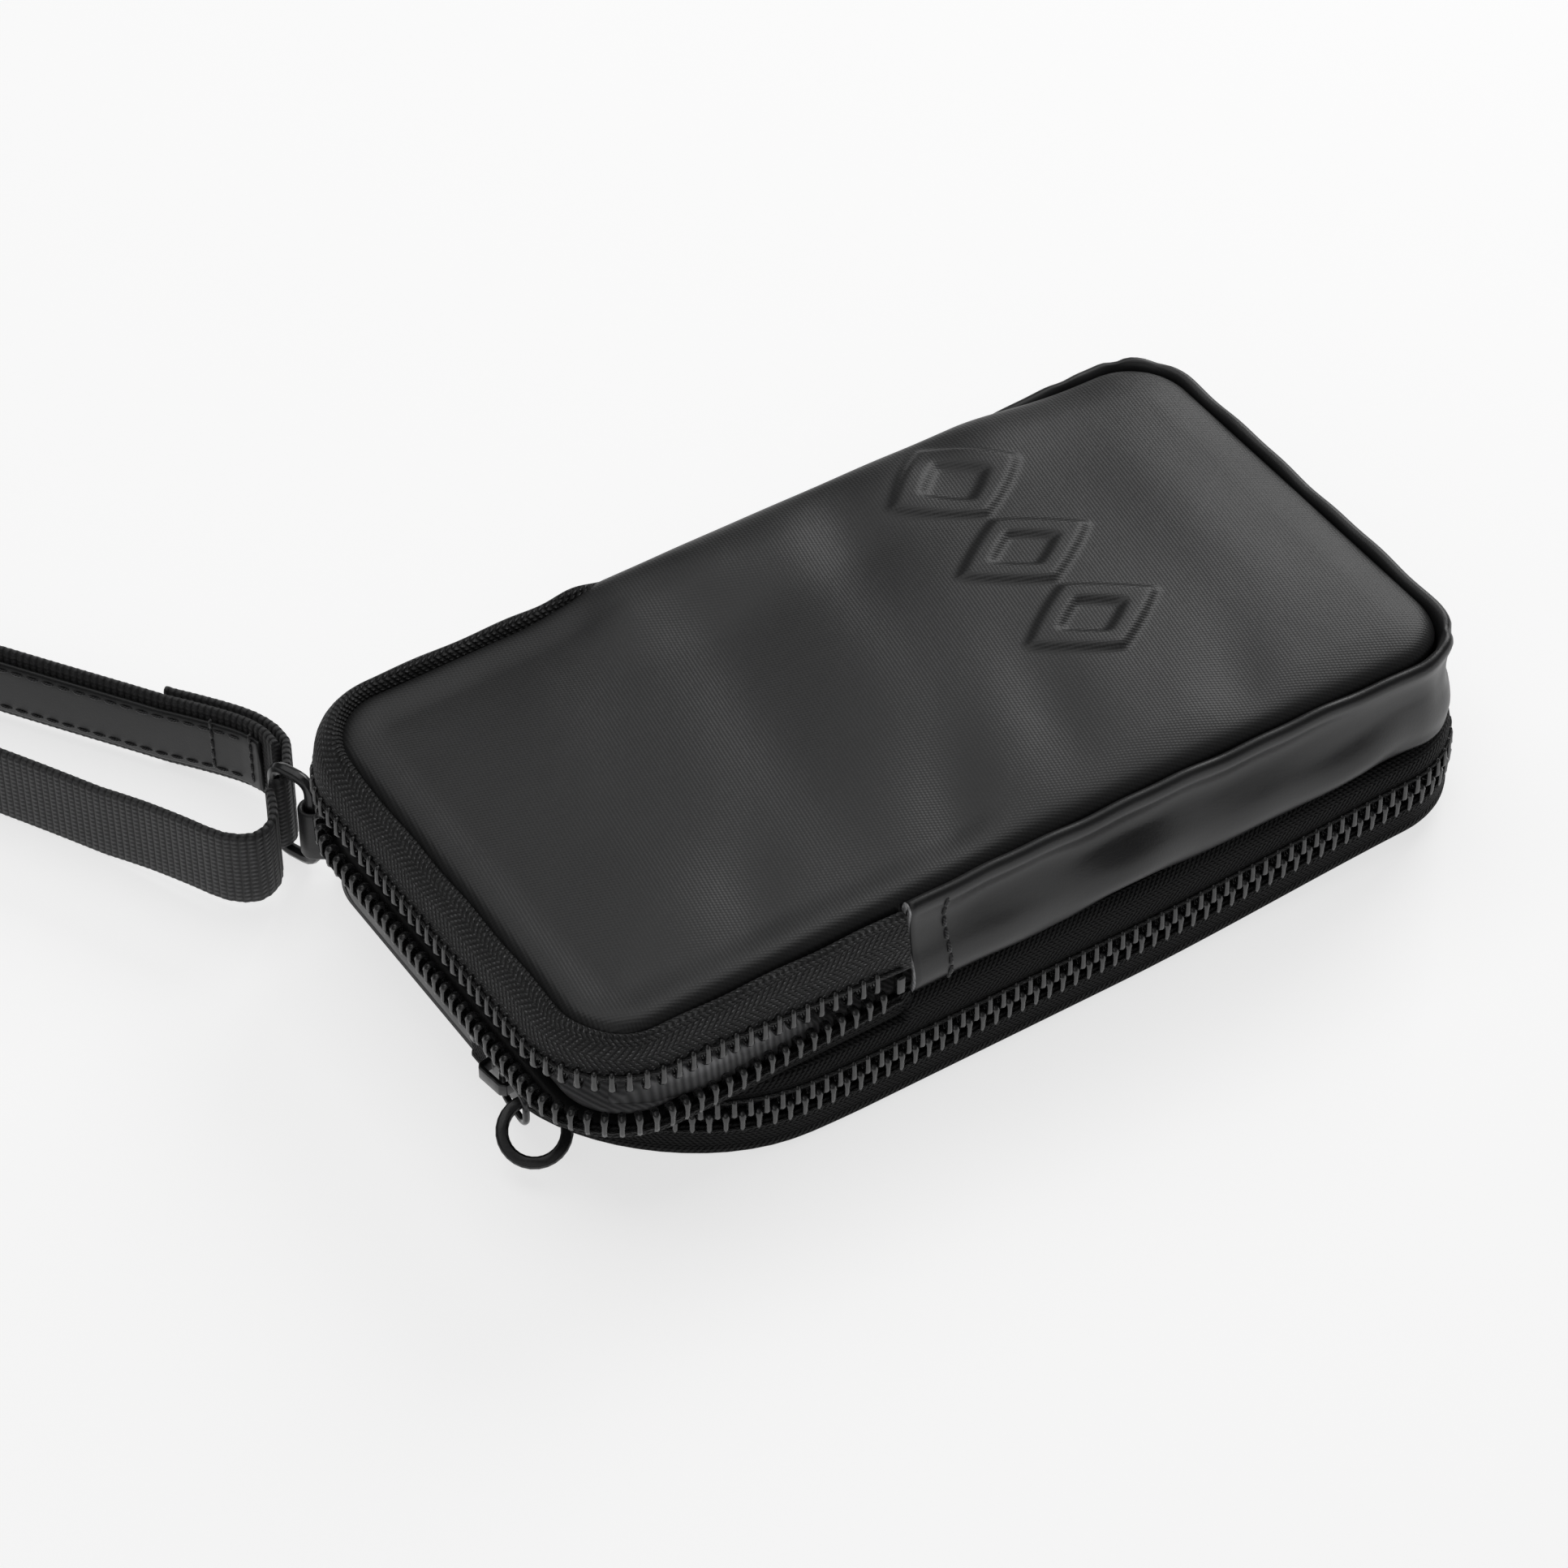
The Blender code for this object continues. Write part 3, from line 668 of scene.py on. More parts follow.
def front_height(x, y):
    """Height of the front panel's outside."""
    edge = FRONT.depth(x, y)
    u, v = x / FRONT.x1, min(max(y / FRONT.y1, -1.0), 1.0)
    crown = CROWN * (1 - u * u) ** 0.7 * (1 - v * v) ** 0.8 if abs(u) < 1 and abs(v) < 1 else 0.0
    depth = max(edge, 0.0)
    firm = eased((x + 14.0) / 40.0)
    shoulder = 2.0 * (1 - math.exp(-depth / 0.95)) + (1.5 - 1.1 * firm) * (1 - math.exp(-depth / 5.5)) \
        + 1.1 * firm
    soft = eased(edge / 9.0)
    z = PANEL_Z - EDGE_DROP + shoulder + crown + ARCH * (1 - u * u)
    z += soft * 1.9 * (eased((x + 24.0 - 0.15 * y) / 48.0) - 0.75)
    for cx, cy, angle, half_len, half_wide, height in DENTS:
        cos, sin = math.cos(math.radians(angle)), math.sin(math.radians(angle))
        a = ((x - cx) * cos + (y - cy) * sin) / half_len
        b = (-(x - cx) * sin + (y - cy) * cos) / half_wide
        z += 1.7 * soft * height * math.exp(-a * a - b * b)
    from_far = FRONT.y1 - y
    slump = (2.2 - 1.2 * firm) * math.exp(-((from_far - 8.0) / 7.5) ** 2) \
        - FAR_ROLL * math.exp(-max(from_far, 0.0) / 1.6)
    return z + emboss(x, y) * soft + slump * far_droop(x)


# ---- front

def flip(faces):
    return [tuple(reversed(f)) for f in faces]


def front_bow(x, y):
    """The near seam bows in a little at the middle, and the panel rolls out over the far one."""
    if y < 0:
        return y * (1 - 0.016 * (1 - (x / PANEL_X) ** 2))
    from_far = FRONT.y1 - y
    push = FAR_ROLL * eased(1 - from_far / 20.0) - 1.3 * math.exp(-from_far / 1.0)
    return y + push * far_droop(x)


def make_front():
    flat, nx, ny = FRONT.grid(0.62)
    points = [(x, front_bow(x, y), front_height(x, y)) for x, y in flat]
    skin = add_piece("front_skin", points, flip(grid_faces(nx, ny)), CANVAS)
    thicken(skin, 1.3)
    apply_modifiers(facing(skin, up=True))
    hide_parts("front_panel", "flap_panel", "front_foam", "flap_foam")
    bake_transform(skin)
    flat, nx, ny = FRONT.inset(1.2).grid(2.0)
    points = [(x, front_bow(x, y), min(front_height(x, y) - 2.4, PANEL_Z - 2.6)
               + wave(x, (0.15, 31.0, 0.2)) + wave(y, (0.15, 23.0, 0.4))) for x, y in flat]
    lining = add_piece("front_lining_sheet", points, flip(grid_faces(nx, ny)), LINING)
    thicken(lining, 0.5)
    apply_modifiers(facing(lining, up=True))
    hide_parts("front_lining", "flap_lining")
    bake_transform(lining)


def facing(obj, up):
    """Turns an open sheet's faces to point up or down."""
    if (sum(p.normal.z for p in obj.data.polygons) > 0) != up:
        obj.data.flip_normals()
    return obj


# ---- gusset

def gusset_track(step):
    corners = [(FLAP_X, -GUSSET_Y, 0), (GUSSET_X, -GUSSET_Y, GUSSET_R), (GUSSET_X, GUSSET_Y, GUSSET_R),
               (FLAP_X, GUSSET_Y, 0)]
    return Track(rounded(corners, steps=20), step)


def gusset_pinches():
    """Folds across the band where it turns its corners: distance, half width, depth."""
    side = GUSSET_X - GUSSET_R - FLAP_X
    turn = math.pi / 2 * GUSSET_R
    end = side + turn + 2 * (GUSSET_Y - GUSSET_R)
    return ((end + turn * 0.40, 1.8, 0.25), (end + turn * 0.80, 1.6, 0.45), (end + turn + 7.0, 2.2, 0.3),
            (side + turn * 0.62, 1.5, 0.5), (side + turn * 0.30, 1.6, 0.25))


def gusset_profile(point, at):
    """The band bulges softly, tucks in under its top roll and rolls over into the crease."""
    x = point.x
    soft = eased((x - FLAP_X) / 16.0)
    bulge = 1.0 + soft * wave(at, (0.30, 37.0, 0.1), (0.22, 23.0, 0.45))
    low = GUSSET_LOW + soft * wave(at, (0.55, 46.0, 0.30), (0.35, 27.0, 0.75))
    rise = ARCH * (1 - (x / PANEL_X) ** 2)
    roll = soft * wave(at, (0.18, 29.0, 0.6), (0.12, 13.0, 0.2))
    far = far_droop(x) if point.y > GUSSET_Y - 1 else 0.0
    pinch = sum(deep * math.exp(-((at - place) / wide) ** 2) for place, wide, deep in gusset_pinches())
    top = PANEL_Z + rise + roll - FAR_ROLL * far - 0.7 * pinch
    bow = -0.7 * (1 - (x / PANEL_X) ** 2) * (1 if point.y < 1 - GUSSET_Y else 0) + 1.0 * far
    tuck = 1.25 * (1.0 - 0.65 * (1 - soft)) * (1.15 - 0.85 * eased((x - 38.0) / 24.0))
    bulge *= 1.0 - 0.45 * eased((x - 62.0) / 16.0)
    pairs = [(-1.6, low - 1.0), (-0.5, low - 0.7), (0.4, low + 0.2), (1.1 * bulge, low + 1.6),
             (1.35 * bulge, low + 3.6), (0.9 * bulge, low + 6.0), (-0.2 * tuck, low + 8.6),
             (-0.95 * tuck, top - 6.4), (-0.95 * tuck, top - 4.6), (-0.45 * tuck, top - 3.0),
             (0.2, top - 1.6), (0.35, top - 0.6), (-0.05, top + 0.3), (-0.85, top + 0.55),
             (-1.6, top + 0.1), (-2.05, top - 1.0), (-2.3, top - 2.6)]
    lifted = []
    in_crease = 14              # from this pair on the band is inside the crease, and no fold shows
    for k, (out, z) in enumerate(pairs):
        share = eased((k - 6) / 6.0)
        fold = pinch * 0.9 * eased((k - 3) / 5.0) * (k < in_crease)
        lifted.append((out + bow * share - fold, z))
    return smooth_line(lifted, 3)


def make_gusset():
    track = gusset_track(1.2)
    gusset = band("gusset_band", track, gusset_profile, LEATHER)
    finish_piece(thicken_inward(gusset, 1.1, RAW_EDGE), "main", "panel_leather", "upper_gusset")
    for label, distance in (("near", 6.6), ("far", track.length - 6.6)):
        stitch_column("gusset_stitch_" + label, track, distance)


def thicken_inward(obj, thickness, rim=None):
    """Thickens an upright sheet on its side towards the pouch's middle."""
    away = sum(p.normal.x * p.center.x + p.normal.y * p.center.y for p in obj.data.polygons)
    thicken(obj, thickness, offset=-1.0 if away > 0 else 1.0, rim=rim)
    return apply_modifiers(obj)


def stitch_column(name, track, distance):
    """A row of stitches up the band, each a short thread that dips at its ends."""
    point, along, side = track.where(distance)
    profile = gusset_profile(point, distance)[3:-12]
    line = [Vector((point.x + side.x * o, point.y + side.y * o, z)) for o, z in profile]
    outs = Vector((side.x, side.y, 0))
    tubes = stitched(line, outs, 2.3, 0.42, 0.25, Vector((along.x, along.y, 0)) * 0.25)
    finish_piece(tubes_piece(name, tubes, 0.30, THREAD), "main", "panel_leather")


def stitched(line, out, pitch, gap, lift, lean=Vector((0, 0, 0))):
    """Threads along a 3D line, with gaps between them."""
    at = distances(line)
    axes = [np.interp(np.linspace(0, at[-1], 400), at, [p[k] for p in line]) for k in range(3)]

    def spot(distance):
        i = min(max(distance / at[-1], 0.0), 1.0) * 399
        lo = min(int(i), 398)
        return Vector([axes[k][lo] + (axes[k][lo + 1] - axes[k][lo]) * (i - lo) for k in range(3)])

    tubes = []
    count = int(at[-1] / pitch)
    for n in range(count):
        start, end = n * pitch + gap / 2, (n + 1) * pitch - gap / 2
        tube = []
        for k in range(7):
            t = k / 6
            arch = math.sin(math.pi * t) ** 0.5 if 0 < t < 1 else 0.0
            tube.append(spot(start + (end - start) * t) + out * (lift * (2 * arch - 1)) + lean * (t - 0.5))
        tubes.append(tube)
    return tubes


def tubes_piece(name, tubes, radius, material, sides=7):
    """Round closed tubes along 3D lines, in one piece."""
    points, faces, lay = [], [], []
    for line in tubes:
        first = len(points)
        normal = None
        n = len(line)
        run = 0.0
        for i, p in enumerate(line):
            way = (line[min(i + 1, n - 1)] - line[max(i - 1, 0)]).normalized()
            if normal is None:
                normal = way.orthogonal().normalized()
            normal = (normal - way * normal.dot(way)).normalized()
            other = way.cross(normal)
            run += (p - line[i - 1]).length if i else 0.0
            r = radius(i / (n - 1)) if callable(radius) else radius
            for k in range(sides):
                a = math.tau * k / sides
                points.append(tuple(p + (normal * math.cos(a) + other * math.sin(a)) * r))
                lay.append((run, a))
        faces += tube_faces(first, n, sides)
    return facing_out(add_piece(name, points, faces, material, lay))


# ---- zips

# A tooth's wire: (out from the tape's middle, up from the tip, half width, half thickness)
TOOTH_WIRE = [
    (0.25, 3.9, 0.40, 0.30), (0.66, 3.7, 0.46, 0.34), (0.80, 3.0, 0.48, 0.36), (0.82, 1.6, 0.50, 0.38),
    (0.82, 0.8, 0.62, 0.46), (0.50, 0.25, 0.72, 0.40), (0.0, 0.10, 0.72, 0.38), (-0.50, 0.25, 0.72, 0.40),
    (-0.82, 0.8, 0.62, 0.46), (-0.82, 1.6, 0.50, 0.38), (-0.80, 3.0, 0.48, 0.36), (-0.25, 3.8, 0.40, 0.30),
]
TOOTH_SIDES = 6


def teeth(name, track, tip, side_up, shift, body, node):
    """A row of wire teeth. tip(point) is the tips' height, side_up is +1 for a row above its
    tips and shift moves the row along the zip."""
    points, faces = [], []
    count = int((track.length - 1.0) / PITCH)
    for n in range(count):
        at = 0.7 + n * PITCH + shift
        point, along, side = track.where(at)
        low = tip(point)
        first = len(points)
        rings = len(TOOTH_WIRE)
        for i, (out, up, half_w, half_t) in enumerate(TOOTH_WIRE):
            a, b = TOOTH_WIRE[max(i - 1, 0)], TOOTH_WIRE[min(i + 1, rings - 1)]
            way = Vector((b[0] - a[0], b[1] - a[1])).normalized()
            across = Vector((way.y, -way.x))
            for k in range(TOOTH_SIDES):
                angle = math.tau * (k + 0.5) / TOOTH_SIDES
                s = half_w * math.cos(angle)
                o = out + across.x * half_t * math.sin(angle)
                u = up + across.y * half_t * math.sin(angle)
                plan = point + along * s + side * o
                points.append((plan.x, plan.y, low + side_up * u))
        faces += tube_faces(first, rings, TOOTH_SIDES)
    row = facing_out(add_piece(name, points, faces, TOOTH))
    return finish_piece(row, body, "tooth", node)


def chain_cord(name, track, height, out, body, radius=0.32):
    """The sewing line that holds a row's legs to the tape."""
    tubes = []
    for o in (out, -out):
        line = []
        for point, side, at in zip(track.points, track.sides, track.at):
            bead = 0.06 * math.cos(math.tau * at / PITCH)
            line.append(Vector((point.x + side.x * (o + bead), point.y + side.y * (o + bead),
                                height(point))))
        tubes.append(line)
    return finish_piece(tubes_piece(name, tubes, radius, TAPE, sides=5), body, "tape")


def tape(name, track, profile, material, body, *nodes, thickness=0.7):
    sheet = band(name, track, profile, material)
    thicken(sheet, thickness, offset=0.0)
    apply_modifiers(sheet)
    return finish_piece(sheet, body, "tape", *nodes)


def make_upper_zip():
    lip = mouth_track(MOUTH_X, LIP_X, LIP_Y, LIP_R, 0.6)
    long_lip = mouth_track(FLAP_X - 0.6, LIP_X, LIP_Y, LIP_R, 1.0)

    def flare(point, at):
        """From the panel's seam, rolls out and then falls to the lip."""
        inset = -FRONT.depth(point.x, point.y)
        far = eased((point.y - 26.0) / 14.0) * (1 - 0.5 * far_droop(point.x))
        low = upper_tip(point.x) + 2.1
        garage = 1.5 * math.exp(-((point.x + 32.0) / 4.5) ** 2) if point.y > 40 else 0.0
        top = PANEL_Z - 0.75 + 1.9 * far + wave(at, (0.15, 17.0, 0.2)) + garage
        fall = top - low
        pairs = [(-inset - 1.3, PANEL_Z - 3.0), (-inset - 0.35, top - 0.75), (-inset + 0.7, top + 0.05),
                 (-0.62 * inset + 0.7 * far, top - 0.10 * fall),
                 (-0.34 * inset + 0.9 * far, top - 0.30 * fall),
                 (-0.10 * inset + 0.5 * far, top - 0.62 * fall), (0.02, top - 0.86 * fall), (0.0, low)]
        return smooth_line(pairs, 3)

    def inner_wall(point, at):
        """From the chain down to the divider, slightly bulged."""
        top = lower_tip(point.x) - 2.1
        low = box("divider_panel")[0].z + 0.2
        return smooth_line([(0.0, top), (0.18, top - 0.3 * (top - low)), (0.1, top - 0.7 * (top - low)),
                            (-0.9, low + 0.3), (-2.2, low + 0.1)], 3)

    tape("upper_tape_weave", long_lip, flare, TAPE, "flap", "upper_tape")
    tape("mouth_tape_weave", long_lip, inner_wall, SHADED_TAPE, "main", "mouth_lower_tape")
    teeth("upper_teeth_row", lip, lambda p: upper_tip(p.x), 1, 0.0, "flap", "upper_teeth")
    teeth("mouth_teeth_row", lip, lambda p: lower_tip(p.x), -1, PITCH / 2, "main", "mouth_lower_teeth")
    chain_cord("upper_tape_cord", lip, lambda p: upper_tip(p.x) + 3.15, CORD_OUT, "flap")
    chain_cord("mouth_tape_cord", lip, lambda p: lower_tip(p.x) - 3.15, CORD_OUT, "main")
    make_lining_fold()


def make_lining_fold():
    """The lining's slack stands up just behind the lower lip on the near side."""
    line = Track([(-76.0, -37.5), (-70.0, -41.0), (-62.0, -42.6), (-50.0, -42.8), (-38.0, -42.6)], 1.0)
    base = box("divider_lining_upper")[1].z

    def rise(point, at):
        ends = eased(at / 9.0) * eased((line.length - at) / 9.0)
        top = base + 0.7 + (4.3 + wave(at, (0.4, 13.0, 0.1), (0.25, 7.0, 0.6))) * ends
        return smooth_line([(0.6, base + 0.2), (0.4, (base + top) / 2), (0.1, top - 0.3), (-0.9, top),
                            (-2.2, top - 0.6), (-4.2, (base + top) / 2), (-6.5, base + 0.4)], 3)

    fold = band("mouth_lining_fold", line, rise, LINING)
    thicken(fold, 0.4, offset=0.0)
    finish_piece(apply_modifiers(fold), "main", "lining")


def make_lower_zip():
    line = lower_track(ZIP_START_Y, ZIP_END_Y, 0.6)
    long_line = lower_track(ZIP_START_Y + 0.3, -4.4, 1.0)
    upper, lower = LOWER_CHAIN_Z + 0.1, LOWER_CHAIN_Z - 0.1

    def top_profile(point, at):
        """From the chain up, behind the band's lower edge."""
        head = GUSSET_LOW + 0.2 if point.x > FLAP_X - 2 else box("divider_panel")[0].z + 1.2
        tuck = -1.5 if point.x > FLAP_X - 2 else -2.2
        low = upper + 2.0 + lift(point.x, point.y)
        return smooth_line([(0.0, low), (0.12, low + 0.3 * (head - low)), (0.0, low + 0.6 * (head - low)),
                            (-0.5, low + 0.85 * (head - low)), (tuck, head)], 3)

    def low_profile(point, at):
        """From the chain down to the back panel's edge, with a bound hem."""
        up = lift(point.x, point.y)
        top = lower - 2.0 + up
        return smooth_line([(0.0, top), (0.2, top - 1.6), (0.25, 2.6 + up), (0.42, 1.7 + up),
                            (0.3, 0.85 + up), (-0.5, 0.75 + up)], 3)

    tape("lower_tape_top_weave", long_line, top_profile, SHADED_TAPE, "main", "lower_zip_tape_top")
    tape("lower_tape_bottom_weave", long_line, low_profile, SHADED_TAPE, "back_cover",
         "lower_zip_tape_bottom")
    teeth("lower_teeth_top_row", line, lambda p: upper - 0.6 + lift(p.x, p.y), 1, 0.0, "main",
          "lower_zip_teeth_top")
    teeth("lower_teeth_bottom_row", line, lambda p: lower + 0.6 + lift(p.x, p.y), -1, PITCH / 2,
          "back_cover", "lower_zip_teeth_bottom")
    chain_cord("lower_top_cord", line, lambda p: upper + 3.0 + lift(p.x, p.y), CORD_OUT, "main")
    chain_cord("lower_bottom_cord", line, lambda p: lower - 3.0 + lift(p.x, p.y), CORD_OUT, "back_cover")


# ---- inner panels, back and ends

def plate(name, outline, step, height, thickness, material, up, rim=None):
    """A sheet over an outline with the thickness on its inner side."""
    flat, nx, ny = outline.grid(step)
    points = [(x, y, height(x, y)) for x, y in flat]
    sheet = facing(add_piece(name, points, flip(grid_faces(nx, ny)), material), up)
    thicken(sheet, thickness, rim=rim)
    return apply_modifiers(sheet)


def make_divider():
    outline = outline_of("divider_panel", [PANEL_R] * 4)
    upper_outline = outline_of("divider_lining_upper", [PANEL_R - 2] * 4)
    lower_outline = outline_of("divider_lining_lower", INNER_RADII)

    def sag(x, y):
        soft = eased(outline.depth(x, y) / 14.0)
        return soft * (wave(x + 0.4 * y, (0.30, 47.0, 0.2), (0.16, 23.0, 0.6)) + wave(y, (0.18, 35.0, 0.3)))

    def panel(x, y):
        return box("divider_panel")[1].z + sag(x, y) - 0.5 * (1 - eased(outline.depth(x, y) / 1.2))

    def top_lining(x, y):
        edge = upper_outline.depth(x, y)
        return box("divider_lining_upper")[1].z + sag(x, y) + 0.35 * math.exp(-edge / 0.8) \
            + 0.22 * eased(edge / 10.0) * wave(x * 0.5 + y, (1.0, 19.0, 0.0), (0.6, 11.3, 0.4))

    def low_lining(x, y):
        return box("divider_lining_lower")[0].z + sag(x, y) - 0.1

    finish_piece(plate("divider_skin", outline, 1.8, panel, 1.2, STRAP_LEATHER, True),
                 "main", "panel_leather", "divider_panel")
    finish_piece(plate("divider_top_lining", upper_outline, 1.4, top_lining, 0.6, LINING, True),
                 "main", "lining", "divider_lining_upper")
    finish_piece(plate("divider_under_lining", lower_outline, 1.8, low_lining, 0.6, LINING, False),
                 "main", "lining", "divider_lining_lower")


def make_back():
    outline = LOWER.inset(-0.2)

    def skin(x, y):
        """Rests on the table; its edge turns up into the tape's hem."""
        edge = outline.depth(x, y)
        soft = eased((edge - 4.0) / 12.0)
        turn = 1.35 * (1 - eased(edge / 2.6)) ** 1.5
        groove = 0.32 * math.exp(-((edge - 3.4) / 0.7) ** 2)
        ease = soft * (0.28 + wave(x + 0.3 * y, (0.12, 53.0, 0.1), (0.08, 29.0, 0.4))
                       + wave(y, (0.08, 31.0, 0.7)))
        return 0.06 + turn + groove + max(ease, 0.0) + lift(x, y)

    back = plate("back_skin", outline, 0.9, skin, 1.1, CANVAS, False)
    finish_piece(back, "back_cover", "canvas", "back_panel")
    seam = Track(rounded([(LOWER_X0 + 3.2, -LOWER_Y + 3.2, NEAR_LEFT_R - 3.2),
                          (LOWER_X1 - 3.2, -LOWER_Y + 3.2, NEAR_RIGHT_R - 3.2),
                          (LOWER_X1 - 3.2, LOWER_Y - 3.2, FAR_R - 3.2),
                          (LOWER_X0 + 3.2, LOWER_Y - 3.2, FAR_R - 3.2)], closed=True), 1.5)
    line = [Vector((p.x, p.y, 0.36 + lift(p.x, p.y))) for p in seam.points]
    tubes = stitched(line, Vector((0, 0, -1)), 2.8, 0.6, 0.12)
    finish_piece(tubes_piece("back_stitches", tubes, 0.26, THREAD), "back_cover", "canvas")
    foam, lining = box("back_foam"), box("back_lining")
    foam_outline = outline_of("back_foam", INNER_RADII)
    pad = plate("back_foam_pad", foam_outline, 3.0, lambda x, y: foam[1].z + lift(x, y), 1.3, FOAM, True)
    finish_piece(pad, "back_cover", "foam", "back_foam")

    def inner(x, y):
        soft = eased(foam_outline.depth(x, y) / 10.0)
        ease = 0.3 + wave(x - 0.5 * y, (0.18, 41.0, 0.3), (0.12, 17.0, 0.2))
        return lining[1].z + lift(x, y) + soft * ease

    finish_piece(plate("back_lining_sheet", foam_outline, 1.6, inner, 0.6, LINING, True),
                 "back_cover", "lining", "back_lining")


def wall_profile(bulge, z0, z1):
    return smooth_line([(-0.5, z0 - 0.3), (0.1, z0 + 0.3), (bulge, z0 + (z1 - z0) * 0.3),
                        (bulge * 1.1, z0 + (z1 - z0) * 0.6), (0.15, z1 - 0.5), (-0.5, z1 + 0.2)], 3)


def make_lower_walls():
    z0, z1 = box("spine")[0].z, box("spine")[1].z
    seam = 3.0
    spine = Track([(box("spine")[1].x + seam, FAR_Y), (box("spine")[0].x - seam, FAR_Y)], 1.0)

    def spine_wall(point, at):
        """Its ends are sewn on the inside of the end gussets."""
        inside = 1.5 * (1 - eased((min(at, spine.length - at) - seam) / 1.5))
        bulge = 0.5 + wave(at, (0.18, 33.0, 0.2), (0.12, 19.0, 0.5))
        return [(out - inside, z) for out, z in wall_profile(bulge, z0, z1)]

    sheet = band("spine_band", spine, spine_wall, LEATHER)
    finish_piece(thicken_inward(sheet, 1.0), "back_cover", "panel_leather", "spine")
    ends = {
        "end_gusset_left": rounded([(SPINE_X0, FAR_Y, 0), (LOWER_X0, FAR_Y, FAR_R), (LOWER_X0, -3.6, 0)]),
        "end_gusset_right": rounded([(LOWER_X1, ZIP_START_Y + 0.4, 0), (LOWER_X1, FAR_Y, FAR_R),
                                     (SPINE_X1, FAR_Y, 0)]),
    }
    for node, line in ends.items():
        sheet = band(node + "_cloth", Track(line, 1.0), lambda p, at: wall_profile(
            0.25 + wave(at, (0.2, 15.0, 0.3)), z0, z1), LEATHER)
        thicken_inward(sheet, 0.8)
        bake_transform(sheet)
        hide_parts(node)


# ---- hardware

def softened(node, name, width, body, material=ENAMEL):
    """The CAD solid with rounded edges, standing for it."""
    obj = new_object(name, NODES[node].data.copy())
    obj.data.materials.clear()
    obj.data.materials.append(material)
    bm = bmesh.new()
    bm.from_mesh(obj.data)
    bmesh.ops.remove_doubles(bm, verts=bm.verts, dist=0.00001)
    bmesh.ops.dissolve_limit(bm, angle_limit=math.radians(1), verts=bm.verts, edges=bm.edges)
    bm.to_mesh(obj.data)
    bm.free()
    bevel = obj.modifiers.new("edges", "BEVEL")
    bevel.width, bevel.segments = width * MM, 3
    bevel.limit_method, bevel.angle_limit = "ANGLE", math.radians(35)
    apply_modifiers(obj)
    obj.data.shade_smooth()
    return finish_piece(obj, body, "metal", node)


def make_hardware():
    for side in ("upper", "lower"):
        softened(side + "_slider", side + "_slider_body", 0.32, side + "_slider")
        softened(side + "_pull_link", side + "_link_wire", 0.1, side + "_link")
        softened(side + "_pull_ring", side + "_ring_body", 0.12, side + "_ring")
    stop = softened("zip_bottom_stop", "upper_stop", 0.4, "main", TOOTH)
    low, high = box("zip_bottom_stop")
    middle = (low + high) / 2 * MM
    stop.data.transform(Matrix.Translation(middle) @ Matrix.Diagonal((0.8, 0.7, 0.55, 1.0))
                        @ Matrix.Translation(-middle))
    softened("zip_end_stop", "lower_stop", 0.4, "back_cover")
    softened("strap_ring", "strap_ring_wire", 0.1, "strap")


# ---- strap

def offset_line(line, distance):
    made = []
    for i, p in enumerate(line):
        way = line[min(i + 1, len(line) - 1)] - line[max(i - 1, 0)]
        made.append(p + Vector((-way.y, way.x)).normalized() * distance)
    return made


def strap_middle(point):
    """The strap stands on its edge and rises to the middle of its ring."""
    low = STRAP_LOW + STRAP_W / 2
    near = max(0.0, 1.0 - (point - Vector(STRAP_RING_OUT)).length / STRAP_RISE)
    return low + (STRAP_RING_MID_Z - low) * min(1.0, 1.25 * near)


def strap_strip(name, line, width, thickness, material, scallop=0.0, middle=strap_middle, step=0.45):
    """A strip on its edge along a plan line, with round edges; scallop wavers its edges and
    faces at the weave's ribs."""
    track = Track(line, step)
    half_w, half_t = width / 2, thickness / 2
    half = [(-half_t, v * (half_w - half_t)) for v in (-1, -0.6, -0.2, 0.2, 0.6, 1)]
    half += [(-half_t * 0.7, half_w - half_t * 0.3), (0, half_w), (half_t * 0.7, half_w - half_t * 0.3)]
    section = half + [(-out, -up) for out, up in half]
    points, lay = [], []
    for p, side, at in zip(track.points, track.sides, track.at):
        rib = 1 + scallop * math.cos(math.tau * at / WEBBING_RIB)
        z = middle(p)
        for out, up in section:
            points.append((p.x + side.x * out * rib, p.y + side.y * out * rib,
                           z + up * (1 + scallop * 0.12 * (rib - 1))))
            lay.append((at, up))
    faces = tube_faces(0, len(track.points), len(section))
    return facing_out(add_piece(name, points, faces, material, lay))


def make_strap():
    line = smooth_line(STRAP_ROUTE)
    webbing = strap_strip("strap_webbing_loop", line, STRAP_W, STRAP_T, WEBBING, 0.10)
    finish_piece(webbing, "strap", "webbing", "strap_webbing")
    inside = offset_line(line, OVERLAY_OUT)[2:-14]
    overlay = strap_strip("strap_overlay_strip", inside, 11.0, 0.9, STRAP_LEATHER)
    finish_piece(overlay, "strap", "strap_leather", "strap_overlay")
    outer = Vector(STRAP_RING_OUT)
    tail_line = [outer + Vector((math.cos(a), math.sin(a))) * 2.4
                 for a in (math.radians(222 + 20 * i) for i in range(8))]
    behind = offset_line(line, -1.9)
    tail_line += behind[:9]
    tail = strap_strip("strap_tail_fold", tail_line, STRAP_W, STRAP_T, WEBBING, 0.10)
    finish_piece(tail, "strap", "webbing", "strap_tail")
    tubes = []
    for height in (-4.2, 4.2):
        face = offset_line(line, OVERLAY_OUT + 0.5)[4:-16]
        rows = [Vector((p.x, p.y, strap_middle(p) + height)) for p in face]
        tubes += stitched_on(rows, 2.9, 0.7)
    stitches = tubes_piece("strap_stitches", tubes, 0.24, THREAD, sides=6)
    finish_piece(stitches, "strap", "strap_leather")
    bars = bar_stitches(line)
    finish_piece(bars, "strap", "webbing")


